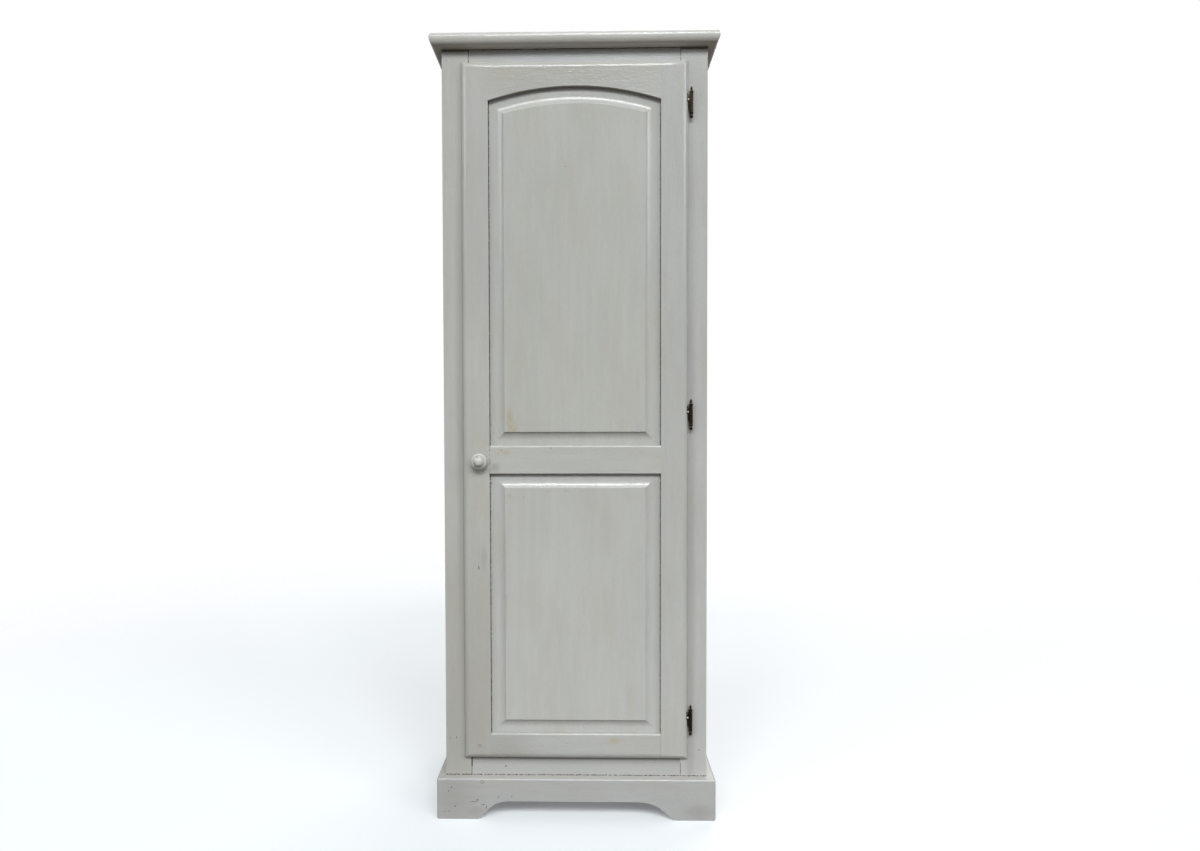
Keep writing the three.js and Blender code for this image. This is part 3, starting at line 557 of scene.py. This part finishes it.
joint_edge = 0.0005
# A strip beside the door's lip is painted shade, the stile darkens low down, and a dark band crosses its top
# under the cornice.
paint_node(
    "left_frame_stile", "Z", joint_edge,
    pits=[
        (-294.3, 193.3, 1.5, 1.5), (-309.0, 191.5, 1.1, 1.1), (-256.6, 134, 1.8, 14), (-256.2, 114, 1.1, 14),
    ],
    scuffs=[(-296, 150, 60, 420), (-300, 118, 14, 12), (-280, 500, 9, 900)],
    level_seams=[(101.3, 1.3, 0.85)],
    bands=[(1863, 1869)],
)
# Its cooler tint is painted light, the cooler light on the cabinet's right, and a strip beside the door's
# lip is painted shade.
paint_node(
    "right_frame_stile", "Z", joint_edge, tint="#b6b6b2",
    pits=[(303.9, 1755.3, 1, 1), (302.1, 165.3, 1.4, 1.4), (256.6, 118, 0.9, 16)],
    scuffs=[
        (301.3, 1813.4, 1.2, 1.2), (315.7, 1813.2, 1.2, 1.2), (309, 1640, 1.2, 1.4), (281, 500, 9, 900),
    ],
    level_seams=[(101.3, 1.2, 0.85)],
    bands=[(1863, 1869)],
)
# Its paler, bluer tint is painted light: the cool light that reaches it under the cornice.
paint_node(
    "top_frame_rail", "X", joint_edge, tint="#b9bab9",
    level_seams=[(1868.5, 1.6, 2)],
    seams=[(-255.6, 1.1, 1.2), (255.6, 1, 1)],
)
# A band just under the door's lip is the lip's painted shadow.
paint_node(
    "bottom_frame_rail", "X", joint_edge, tint="#b0b0ae",
    pits=[(-172.5, 122.4, 2, 1.6), (-255.7, 134, 1.4, 14)],
    grime=[(0, 147, 900, 12)],
    level_seams=[(101.5, 1.2, 0.8)],
)


# Cornice: a painted pine moulding, mitred at the front corners and glued to the carcass top. Its
# nose is rounded above and curves in gently to a flat underside.
def arc_points(centre, radii, start, end, steps):
    """Points on an elliptical arc, from one angle in degrees to another."""
    angles = [math.radians(start + (end - start) * i / steps) for i in range(steps + 1)]
    return [(centre[0] + radii[0] * math.cos(a), centre[1] + radii[1] * math.sin(a)) for a in angles]


def loft(name, rings, material):
    """A closed solid through rings of points, its two ends flat."""
    count = len(rings[0])
    faces = [list(range(count))[::-1], list(range((len(rings) - 1) * count, len(rings) * count))]
    for ring in range(len(rings) - 1):
        for i in range(count):
            a, b = ring * count + i, ring * count + (i + 1) % count
            faces.append((a, b, b + count, a + count))
    piece = new_piece(name, [p for ring in rings for p in ring], faces, material)
    turned_out(piece)
    return piece


def turned_out(piece):
    """Points every face of a closed mesh outwards."""
    shape = bmesh.new()
    shape.from_mesh(piece.data)
    bmesh.ops.recalc_face_normals(shape, faces=shape.faces)
    shape.to_mesh(piece.data)
    shape.free()


def smooth(piece, angle=30):
    """Shades a piece smooth but for its edges over this angle."""
    piece.data.shade_smooth()
    piece.data.set_sharp_from_angle(angle=math.radians(angle))
    keep_flats(piece)


cornice_low, cornice_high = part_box("cornice_front")
carcass_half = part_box("right_frame_stile")[1].x
carcass_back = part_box("left_side_panel")[1].y
cornice_reach = frame_face - cornice_low.y
seat_width = 0.034
nose_reach, nose_drop, top_round = 0.013, 0.013, 0.01
dust_rebate = 0.01
nose_height = cornice_high.z - nose_drop
nose_fall = nose_height - cornice_low.z
cornice_section = [
    (-seat_width, cornice_low.z),
    (-seat_width, cornice_high.z - dust_rebate),
    (dust_rebate - seat_width, cornice_high.z - dust_rebate),
    (dust_rebate - seat_width, cornice_high.z),
    *arc_points((cornice_reach - top_round, nose_height), (top_round, nose_drop), 90, 0, 24),
    *arc_points((cornice_reach - nose_reach, nose_height), (nose_reach, nose_fall), 0, -90, 24)[1:],
]
mitre_gap = 0.0002
front_rings = [
    [Vector((sign * (carcass_half + out - mitre_gap), frame_face - out, z)) for out, z in cornice_section]
    for sign in (-1, 1)
]
# The cornice's tint is paler than the rest of the paint: painted light that brightens the whole moulding.
cornice_tint = "#c7c5bf"
paint_cornice_front = satin_grey_paint("cornice_front", "X", cornice_tint)
paint_cornice_side = satin_grey_paint("cornice_side", "Y", cornice_tint)
mouldings = {"front": (front_rings, paint_cornice_front)}
for side, sign in (("left", -1), ("right", 1)):
    mitred = [
        Vector((sign * (carcass_half + out), frame_face - out + mitre_gap, z)) for out, z in cornice_section
    ]
    square = [Vector((sign * (carcass_half + out), carcass_back, z)) for out, z in cornice_section]
    mouldings[side] = ([mitred, square], paint_cornice_side)
for place, (rings, paint) in mouldings.items():
    moulding = loft(f"cornice_{place}_moulding", rings, paint)
    smooth(moulding)
    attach(moulding, "carcass")
    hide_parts(f"cornice_{place}")


# Plinth: three painted pine boards mitred round the foot of the carcass. The front one is sawn to
# an arch that leaves two shaped feet; its top edge and its corners are rounded over.
def prism(name, outline, axis, low, high, material):
    """An outline swept along one axis, its points given along the other two in order."""
    order = {"X": (1, 2, 0), "Y": (0, 2, 1), "Z": (0, 1, 2)}[axis]
    rings = []
    for end in (low, high):
        ring = []
        for point in outline:
            place = [0.0, 0.0, 0.0]
            place[order[0]], place[order[1]], place[order[2]] = point[0], point[1], end
            ring.append(Vector(place))
        rings.append(ring)
    return loft(name, rings, material)


def cut_to(piece, tool):
    """Cuts a mesh piece down to what it shares with another, and removes that one."""
    step = piece.modifiers.new("cut", "BOOLEAN")
    step.operation = "INTERSECT"
    step.solver = "EXACT"
    step.object = tool
    bpy.context.view_layer.update()
    made = bpy.data.meshes.new_from_object(piece.evaluated_get(bpy.context.evaluated_depsgraph_get()))
    piece.modifiers.clear()
    old = piece.data
    piece.data = made
    made.name = piece.name
    bpy.data.meshes.remove(old)
    bpy.data.objects.remove(tool)


plinth_low, plinth_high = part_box("plinth_front")
plinth_thickness = frame_face - plinth_low.y
plinth_half = carcass_half + plinth_thickness
plinth_arris, plinth_corner = 0.0045, 0.004
gap_height = 0.0445
toe_round, foot_corner = 0.005, 0.006
past = 0.01  # how far an outline reaches past a face that another one cuts


def curve_points(start, bend, end, steps):
    """Points on a quadratic curve."""
    return [
        tuple((1 - t) ** 2 * a + 2 * t * (1 - t) * b + t**2 * c for a, b, c in zip(start, bend, end))
        for t in (i / steps for i in range(steps + 1))
    ]


def foot_side(gap_reach, flat_reach, knee_inset, knee_height):
    """One side of the sawn gap: the worn toe, the slope up to the knee, and the curve above it."""
    slope = knee_inset / knee_height
    knee = gap_reach - knee_inset
    return [
        *curve_points(
            (gap_reach + toe_round, 0), (gap_reach, 0), (gap_reach - toe_round * slope, toe_round), 8
        ),
        *curve_points(
            (knee, knee_height), (knee - (gap_height - knee_height) * slope, gap_height),
            (flat_reach, gap_height), 24,
        ),
    ]


left_side = foot_side(gap_reach=0.237, flat_reach=0.165, knee_inset=0.024, knee_height=0.025)
right_side = foot_side(gap_reach=0.241, flat_reach=0.146, knee_inset=0.035, knee_height=0.028)
front_outline = [
    *arc_points((foot_corner - plinth_half, foot_corner), (foot_corner, foot_corner), 180, 270, 8),
    *[(-x, z) for x, z in left_side],
    *reversed(right_side),
    *arc_points((plinth_half - foot_corner, foot_corner), (foot_corner, foot_corner), 270, 360, 8),
    (plinth_half, plinth_high.z + past),
    (-plinth_half, plinth_high.z + past),
]
edge_section = [
    (plinth_low.y, -past),
    (frame_face, -past),
    (frame_face, plinth_high.z),
    *arc_points(
        (plinth_low.y + plinth_arris, plinth_high.z - plinth_arris), (plinth_arris, plinth_arris), 90, 180, 8
    ),
]
mitre_inset = 0.3 * plinth_corner
corner_plan = [
    (-carcass_half - mitre_gap, frame_face),
    (-plinth_half + mitre_inset, plinth_low.y + mitre_inset),
    *arc_points(
        (-plinth_half + plinth_corner, plinth_low.y + plinth_corner), (plinth_corner, plinth_corner),
        225, 270, 6,
    ),
    *arc_points(
        (plinth_half - plinth_corner, plinth_low.y + plinth_corner), (plinth_corner, plinth_corner),
        270, 315, 6,
    ),
    (plinth_half - mitre_inset, plinth_low.y + mitre_inset),
    (carcass_half + mitre_gap, frame_face),
]
paint_plinth = satin_grey_paint(
    "plinth", "X", tint="#adadab",
    pits=[
        (-240.5, 47.3, 2.2, 1.8), (-304.1, 79, 1.4, 1.4), (-311.5, 69, 1.4, 1.6), (-295.1, 32, 1.8, 1.6),
        (-321.7, 18.1, 1.3, 1.2), (-310.6, 19.4, 1.3, 1.2), (-189.3, 55.6, 1.3, 1.2), (-156, 56.1, 1.2, 1.2),
        (-249.5, 43, 8, 0.7), (-226, 36, 4, 0.7), (-218.5, 29.5, 1, 4),
    ],
    scuffs=[(-304, 50, 50, 60), (-250, 20, 30, 12), (300, 20, 30, 14), (-339, 50, 3, 70)],
    plugs=[(-229.3, 91.9, 3.6)],
)
paint_plinth_side = satin_grey_paint("plinth_side", "Y", tint="#adadab")
plinth_front = prism("plinth_front_board", front_outline, "Y", plinth_low.y - past, frame_face, paint_plinth)
cut_to(plinth_front, prism("edge", edge_section, "X", -plinth_half - past, plinth_half + past, paint_plinth))
cut_to(plinth_front, prism("plan", corner_plan, "Z", -past, plinth_high.z + past, paint_plinth))
boards = {"front": plinth_front}
for side, sign in (("left", -1), ("right", 1)):
    worn = arc_points((plinth_low.y + foot_corner, foot_corner), (foot_corner, foot_corner), 180, 270, 6)
    section = [
        (sign * (plinth_half - (y - plinth_low.y)), z)
        for y, z in [*worn, (frame_face, 0), *edge_section[2:]]
    ]
    board = prism(f"plinth_{side}_board", section, "Y", plinth_low.y - past, carcass_back, paint_plinth_side)
    plan = [
        (sign * carcass_half, frame_face + mitre_gap),
        (sign * (plinth_half - mitre_inset), plinth_low.y + mitre_inset + mitre_gap),
        *[
            (sign * x, y)
            for x, y in arc_points(
                (plinth_half - plinth_corner, plinth_low.y + plinth_corner + mitre_gap),
                (plinth_corner, plinth_corner), 315, 360, 6,
            )
        ],
        (sign * plinth_half, carcass_back),
        (sign * carcass_half, carcass_back),
    ]
    cut_to(board, prism("plan", plan, "Z", 0, plinth_high.z + past, paint_plinth_side))
    boards[side] = board
for place, board in boards.items():
    ease_edges(board, broken_edge)
    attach(board, "carcass")
    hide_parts(f"plinth_{place}")


# Magnetic catch: a moulded brown case screwed under the second shelf, with a small steel magnet
# that holds the strike plate on the door's back.
def moulded_abs():
    """Moulded ABS plastic, brown, with a fine spark-eroded grain that dulls its gloss."""
    grain_size = 0.35
    material, tree, place = new_material("moulded_abs_brown")
    grain = add_node(
        tree, "ShaderNodeTexNoise", {"Scale": 1000 / grain_size, "Detail": 2},
        {"Vector": place.outputs["Object"]},
    )
    tone = add_node(
        tree, "ShaderNodeMix", {"data_type": "RGBA", 6: linear("#46301f"), 7: linear("#553c2a")},
        {0: grain},
    )
    bump = add_node(tree, "ShaderNodeBump", {"Strength": 0.4, "Distance": 0.00005}, {"Height": grain})
    surface = add_node(
        tree, "ShaderNodeBsdfPrincipled", {"Roughness": 0.5, "IOR": 1.54},
        {"Base Color": tone.outputs[2], "Normal": bump},
    )
    add_node(tree, "ShaderNodeOutputMaterial", links={"Surface": surface})
    return material


def zinc_plated_steel():
    """Zinc plated steel: a pale blue-grey metal, drawn and barrel plated, so faintly mottled."""
    mottle_size, scratch_width, scratch_length = 2.5, 0.2, 4
    material, tree, place = new_material("zinc_plated_steel")
    mottle = add_node(
        tree, "ShaderNodeTexNoise", {"Scale": 1000 / mottle_size, "Detail": 2},
        {"Vector": place.outputs["Object"]},
    )
    scratch = drawn_out(tree, place, "Z", scratch_width, scratch_length, 1)
    tone = add_node(
        tree, "ShaderNodeMix", {"data_type": "RGBA", 6: linear("#9a9da0"), 7: linear("#b9bbba")},
        {0: mottle},
    )
    gloss = add_node(tree, "ShaderNodeMapRange", {"To Min": 0.26, "To Max": 0.44}, {"Value": scratch})
    surface = add_node(
        tree, "ShaderNodeBsdfPrincipled", {"Metallic": 1},
        {"Base Color": tone.outputs[2], "Roughness": gloss},
    )
    add_node(tree, "ShaderNodeOutputMaterial", links={"Surface": surface})
    return material


zinc = zinc_plated_steel()
case_edge, magnet_edge, plate_edge, screw_edge = 0.0006, 0.0004, 0.0003, 0.0002
finish_node("catch_case", moulded_abs(), case_edge)
finish_node("catch_magnet", zinc, magnet_edge)
finish_node("catch_strike_plate", zinc, plate_edge)
for name in ("catch_left_screw", "catch_right_screw", "strike_screw"):
    finish_node(name, zinc, screw_edge)


# Door frame: pine stiles and rails, mortised, tenoned and painted, with a rounded lip outside and
# small eased edges round the panels. Marks are where the photograph shows them.
inner_edge = 0.001
# Strips along its outer edge and across its foot are painted shade on the door's rounded lip, and it darkens
# low down.
paint_node(
    "door_left_stile", "Z", inner_edge,
    scuffs=[(-240, 170, 60, 400), (-234.4, 662, 1.2, 48), (-222, 640, 8, 30)],
    pits=[(-234.7, 617, 1.1, 5)],
    grime=[(-279, 800, 6, 2500), (-240, 139, 200, 7)],
    plugs=[(-234.8, 179.8, 3.4)],
)
# Strips along its outer edge and across its foot are painted shade on the door's rounded lip.
paint_node(
    "door_right_stile", "Z", inner_edge, tint="#b6b6b1", grime=[(279, 800, 5, 2500), (240, 139, 200, 7)]
)
# The dark patch below and right of the knob is the knob's painted shadow.
paint_node(
    "door_middle_rail", "X", joint_edge, tint="#b8b8b2",
    stains=[(-168, 898, 12, 5), (-180, 903, 7, 3)],
    pits=[(-174.7, 914, 1.4, 1.2), (-58.3, 908, 1.4, 1.2), (-187, 896, 1, 1)],
    scuffs=[(-192, 860, 9, 9)],
    seams=[(-206.4, 0.9, 0.5)],
)
# A strip along its lower edge is painted shade on the door's rounded lip.
paint_node(
    "door_bottom_rail", "X", joint_edge, tint="#b4b4b0",
    stains=[(-26, 213, 9, 2), (14, 213, 10, 2), (96, 194, 14, 6)],
    scuffs=[(-180, 170, 60, 60), (-175, 178, 0.9, 24), (206, 178, 1, 24), (-60, 212, 40, 2)],
    grime=[(0, 139, 900, 7)],
)
paint_node(
    "door_top_rail", "X", joint_edge, stains=[(-120, 1758, 16, 4)], scuffs=[(-20, 1820, 130, 3)]
)


# Door panels: wide pine boards, raised on a spindle moulder and loose in the frame's grooves. A
# hollow cove runs round the field, and the paint has cracked where panel and stile meet.
door_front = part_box("door_left_stile")[0].y
panel_tongue = 0.008
opening_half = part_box("upper_door_panel")[1].x - panel_tongue
border_setback, field_setback, field_step = 0.0095, 0.001, 0.0015
tongue_thickness = 0.007
crack_width, crack_floor_width, crack_depth = 0.0005, 0.0004, 0.0014
cove_width, cove_steps = 0.0195, 20
step_width, step_turns = 0.0014, 6
side_margin, end_margin, arch_margin = 0.036, 0.033, 0.04
arch_rise = 0.033
arch_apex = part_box("upper_door_panel")[1].z - panel_tongue
arch_radius = (opening_half**2 + arch_rise**2) / (2 * arch_rise)
arch_centre = arch_apex - arch_radius
arch_steps, panel_rows, across_step = 120, 90, 0.009
border_front = door_front + border_setback
field_front = door_front + field_setback
cove_rise = border_front - field_front - field_step
cove_radius = (cove_width**2 + cove_rise**2) / (2 * cove_rise)
cove_sweep = math.asin(cove_width / cove_radius)


def panel_outline(half, bottom, top, radius):
    """A panel's outline from its bottom left corner: straight sides, and a top that is an arc of
    this radius, or straight where there is none. Sides have a point every few millimetres."""
    if radius:
        reach = math.asin(half / radius)
        turns = [reach - 2 * reach * i / arch_steps for i in range(arch_steps + 1)]
        crown = [(radius * math.sin(a), arch_centre + radius * math.cos(a)) for a in turns]
    else:
        across = round(2 * opening_half / across_step)
        crown = [(half - 2 * half * i / across, top) for i in range(across + 1)]
    rise, fall = crown[0][1] - bottom, bottom - crown[-1][1]
    right = [(half, bottom + rise * i / panel_rows) for i in range(panel_rows)]
    left = [(-half, crown[-1][1] + fall * i / panel_rows) for i in range(1, panel_rows)]
    return [(-half, bottom), *right, *crown, *left]


def raised_panel(name, node, bottom, top, radius, material, rim_material):
    """Rings from the tongue's back, over the border, the cove and its step, to the flat field."""

    def ring(outline, depth):
        return [Vector((x, depth, z)) for x, z in outline]

    def field(offset):
        """The field's outline, this much larger all round."""
        half = opening_half - side_margin + offset
        crown = radius - arch_margin + offset if radius else 0
        return panel_outline(half, bottom + end_margin - offset, top - end_margin + offset, crown)

    tongue = panel_outline(
        opening_half + panel_tongue, bottom - panel_tongue, top + panel_tongue,
        radius + panel_tongue if radius else 0,
    )
    border = panel_outline(opening_half - crack_width, bottom, top, radius)
    crack_floor = panel_outline(opening_half - crack_floor_width, bottom, top, radius)
    rings = [
        ring(tongue, border_front + tongue_thickness),
        ring(tongue, border_front + crack_depth),
        ring(crack_floor, border_front + crack_depth),
        ring(border, border_front),
    ]
    for i in range(cove_steps + 1):
        angle = cove_sweep * i / cove_steps
        depth = border_front - cove_radius * (1 - math.cos(angle))
        rings.append(ring(field(cove_width - cove_radius * math.sin(angle)), depth))
    for i in range(1, step_turns + 1):
        angle = math.pi / 2 * i / step_turns
        depth = field_front + field_step * (1 - math.sin(angle))
        rings.append(ring(field(-step_width * (1 - math.cos(angle))), depth))
    panel = loft(name, rings, material)
    panel.data.materials.append(rim_material)
    for polygon in panel.data.polygons:
        polygon.material_index = 0 if len(polygon.vertices) > 4 and polygon.normal.y < 0 else 1
    smooth(panel, 18)
    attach(panel, "door")
    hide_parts(node)


middle_rail_low, middle_rail_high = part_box("door_middle_rail")
bottom_rail_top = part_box("door_bottom_rail")[1].z
paint_upper_panel = satin_grey_paint(
    "upper_panel", "Z", tint="#b7b7b0",
    stains=[(-151, 957, 11, 16), (-158, 975, 7, 26)],
    pits=[(-21, 1583, 0.9, 0.9)],
)
paint_upper_rim = satin_grey_paint(
    "upper_panel_rim", "Z", tint="#b7b7b2", seams=[(-206.6, 1.1, 1.1), (206.6, 0.7, 1.5)]
)
paint_lower_panel = satin_grey_paint(
    "lower_panel", "Z", tint="#b9b9b4",
    stains=[
        (-159, 791, 4, 5), (-171, 774, 2, 5), (-66, 803.6, 8, 2.5), (-20, 804, 5, 1.5), (14, 804, 4, 1.2),
        (-169, 650, 1.6, 60), (-168, 520, 1.4, 40),
    ],
    pits=[(-124.3, 789, 1.2, 1.2)],
)
paint_lower_rim = satin_grey_paint(
    "lower_panel_rim", "Z", tint="#b8b8b4",
    pits=[(-204.5, 822.5, 1.4, 1.6)],
    seams=[(-206.6, 1.1, 0.9), (206.6, 0.7, 1.1)],
)
raised_panel(
    "upper_raised_panel", "upper_door_panel", middle_rail_high.z, arch_apex, arch_radius,
    paint_upper_panel, paint_upper_rim,
)
raised_panel(
    "lower_raised_panel", "lower_door_panel", bottom_rail_top, middle_rail_low.z, 0,
    paint_lower_panel, paint_lower_rim,
)


# Knob: turned beech, screwed on from behind the stile and painted with the door. A domed button
# stands inside its rounded rim, and three small pits show on it.
def spline(points, per_span):
    """A smooth line through the points, with this many steps from one to the next."""
    padded = [points[0], *points, points[-1]]
    line = []
    for p0, p1, p2, p3 in zip(padded, padded[1:], padded[2:], padded[3:]):
        for i in range(per_span):
            t = i / per_span
            line.append(
                tuple(
                    b + 0.5 * (
                        (c - a) * t + (2 * a - 5 * b + 4 * c - d) * t**2 + (3 * b - a - 3 * c + d) * t**3
                    )
                    for a, b, c, d in zip(p0, p1, p2, p3)
                )
            )
    return [*line, points[-1]]


def turned(name, profile, steps, material):
    """A turned solid about the Z axis: the profile lists radius and height from the foot's centre to
    the tip's."""
    least_radius = 0.00001
    rings = [on_circle(max(radius, least_radius), steps, z) for radius, z in profile]
    return loft(name, rings, material)


knob_low, knob_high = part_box("door_knob")
knob_radius = (knob_high.x - knob_low.x) / 2
knob_projection = door_front - knob_low.y
knob_profile_shares = [
    (0.46, 0), (0.41, 0.06), (0.43, 0.14), (0.6, 0.21), (0.88, 0.28), (0.99, 0.36), (1, 0.43),
    (0.95, 0.51), (0.86, 0.56), (0.77, 0.565), (0.69, 0.55), (0.65, 0.58), (0.63, 0.66),
    (0.6, 0.76), (0.5, 0.88), (0.35, 0.96), (0.18, 0.99), (0.02, 1),
]
knob_profile = spline(
    [(radial * knob_radius, along * knob_projection) for radial, along in knob_profile_shares], 6
)
knob_middle = ((knob_low.x + knob_high.x) / 2, (knob_low.z + knob_high.z) / 2)
knob_x, knob_z = (1000 * c for c in knob_middle)
paint_knob = satin_grey_paint(
    "knob", "Y", tint="#c2c1bb",
    pits=[
        (knob_x - 3, knob_z + 11, 1.5, 1.5), (knob_x - 6.5, knob_z - 3, 1.4, 1.5),
        (knob_x - 6, knob_z + 1.5, 0.9, 1.1),
    ],
)
knob = turned("painted_knob", knob_profile, 96, paint_knob)
knob.data.transform(Matrix.Rotation(math.pi / 2, 4, "X"))
knob.data.transform(Matrix.Translation((knob_middle[0], door_front, knob_middle[1])))
smooth(knob, 40)
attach(knob, "door")
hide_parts("door_knob")
finish_node("knob_screw", zinc, screw_edge)


# Hinges: three finial hinges in aged bronze. Each turned barrel has a blade driven into the frame
# and one let into the door's edge, whose dark oval cheek shows beside the barrel.
def aged_bronze():
    """Brass turned and chemically darkened: nearly black brown, worn to warm metal in patches, with a
    soft waxed gloss."""
    patch_size, scratch_width, scratch_length = 3, 0.3, 6
    material, tree, place = new_material("aged_bronze")
    patch = add_node(
        tree, "ShaderNodeTexNoise", {"Scale": 1000 / patch_size, "Detail": 4},
        {"Vector": place.outputs["Object"]},
    )
    scratch = drawn_out(tree, place, "Z", scratch_width, scratch_length, 2)
    tone = add_node(tree, "ShaderNodeValToRGB", links={"Fac": patch})
    tone.color_ramp.elements[0].position = 0.35
    tone.color_ramp.elements[0].color = linear("#120c09")
    tone.color_ramp.elements[1].position = 0.75
    tone.color_ramp.elements[1].color = linear("#463926")
    gloss = add_node(tree, "ShaderNodeMapRange", {"To Min": 0.28, "To Max": 0.5}, {"Value": scratch})
    bump = add_node(tree, "ShaderNodeBump", {"Strength": 0.3, "Distance": 0.0001}, {"Height": patch})
    surface = add_node(
        tree, "ShaderNodeBsdfPrincipled", {"Metallic": 0.8},
        {"Base Color": tone, "Roughness": gloss, "Normal": bump},
    )
    add_node(tree, "ShaderNodeOutputMaterial", links={"Surface": surface})
    return material


knuckle_radius, hinge_gap = 0.0044, 0.0003
upper_length, lower_length = 0.0215, 0.022
ring_shares = [(1, 1), (1.12, 1.02), (1.2, 1.06), (1.2, 1.12), (1.12, 1.16), (0.8, 1.18)]
upper_finial_shares = [
    (0.62, 1.2), (0.5, 1.27), (0.6, 1.36), (0.66, 1.46), (0.5, 1.6), (0.2, 1.68), (0.01, 1.69),
]
neck_shares = [(1, 1), (0.88, 1.02), (0.88, 1.11), (1.08, 1.125), (1.18, 1.16), (1.18, 1.21), (1.06, 1.25)]
lower_finial_shares = [
    (0.72, 1.34), (0.68, 1.38), (0.88, 1.5), (0.84, 1.62), (0.52, 1.73), (0.2, 1.765), (0.01, 1.77),
]
leaf_thickness, leaf_reach, leaf_height, leaf_root = 0.002, 0.022, 0.02, 0.0084
leaf_edge, blade_edge, pin_edge = 0.0004, 0.0003, 0.0002
cheek_reach, cheek_half_height = 0.0085, 0.024
running_room = 0.0004
blade_reach, blade_half_height, blade_drop = 0.022, 0.007, 0.011
speck_radius, speck_height, speck_rise, speck_inset = 0.0021, 0.0007, 0.0055, 0.00126
speck_turns = [math.radians(angle) for angle in (-60, -30, 0, 25, 50, 70, 89)]


def barrel_profile(length, collar, finial):
    """Half a barrel, from its end at the split out to the finial's tip, as radius and height."""
    start, chamfer = hinge_gap / 2, 0.0003
    return [
        (0, start),
        (knuckle_radius - chamfer, start),
        (knuckle_radius, start + chamfer),
        *[(radial * knuckle_radius, along * length) for radial, along in collar],
        *spline([(radial * knuckle_radius, along * length) for radial, along in finial], 5),
    ]


def hinge_leaf(name, split):
    """The flat leaf in the door's edge: an oval cheek that shows, and the blade behind the lip."""
    upper = arc_points((0, 0), (cheek_reach, cheek_half_height), 90, 180, 32)
    lower = arc_points((0, 0), (cheek_reach, cheek_half_height), 180, 270, 32)
    clear = knuckle_radius + running_room
    outline = [
        *[point for point in upper if point[0] > -leaf_root],
        (-leaf_root, leaf_height),
        (-leaf_reach, leaf_height),
        (-leaf_reach, 0),
        *[point for point in lower if point[0] < -clear],
        (-clear, hinge_gap / 2),
        (0, hinge_gap / 2),
    ]
    placed = [(hinge_x + x, split + z) for x, z in outline]
    return prism(name, placed, "Y", hinge_y - leaf_thickness, hinge_y, bronze)


bronze = aged_bronze()
upper_profile = barrel_profile(upper_length, ring_shares, upper_finial_shares)
lower_profile = barrel_profile(lower_length, neck_shares, lower_finial_shares)
speck_profile = [(speck_radius * math.cos(a), speck_height * math.sin(a)) for a in speck_turns]
for place in ("top", "middle", "bottom"):
    finish_node(f"{place}_hinge_pin", zinc, pin_edge)
    pin_low, pin_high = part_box(f"{place}_hinge_pin")
    hinge_x, hinge_y, split = (pin_low + pin_high) / 2
    upper = turned(f"{place}_hinge_upper_barrel", upper_profile, 48, bronze)
    lower = turned(f"{place}_hinge_lower_barrel", lower_profile, 48, bronze)
    lower.data.transform(Matrix.Rotation(math.pi, 4, "X"))
    for barrel in (upper, lower):
        barrel.data.transform(Matrix.Translation((hinge_x, hinge_y, split)))
        smooth(barrel, 35)
    leaf = hinge_leaf(f"{place}_hinge_leaf", split)
    ease_edges(leaf, leaf_edge)
    blade_middle = split - blade_drop
    left_face, right_face = hinge_x - leaf_thickness / 2, hinge_x + leaf_thickness / 2
    blade_plan = [
        (left_face, hinge_y), (right_face, hinge_y),
        (right_face, hinge_y + blade_reach), (left_face, hinge_y + blade_reach),
    ]
    blade = prism(
        f"{place}_hinge_blade", blade_plan, "Z",
        blade_middle - blade_half_height, blade_middle + blade_half_height, bronze,
    )
    ease_edges(blade, blade_edge)
    speck = turned(f"{place}_hinge_paint_speck", speck_profile, 20, paint_knob)
    speck.data.transform(Matrix.Rotation(math.pi / 2, 4, "X"))
    speck_x = hinge_x - cheek_reach + speck_inset
    speck.data.transform(Matrix.Translation((speck_x, hinge_y - leaf_thickness, split + speck_rise)))
    smooth(speck, 60)
    for piece in (upper, leaf, speck):
        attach(piece, "door")
    for piece in (lower, blade):
        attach(piece, "carcass")
    for piece in (upper, leaf):
        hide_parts(f"{place}_hinge_door_half")
    for piece in (lower, blade):
        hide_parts(f"{place}_hinge_frame_half")
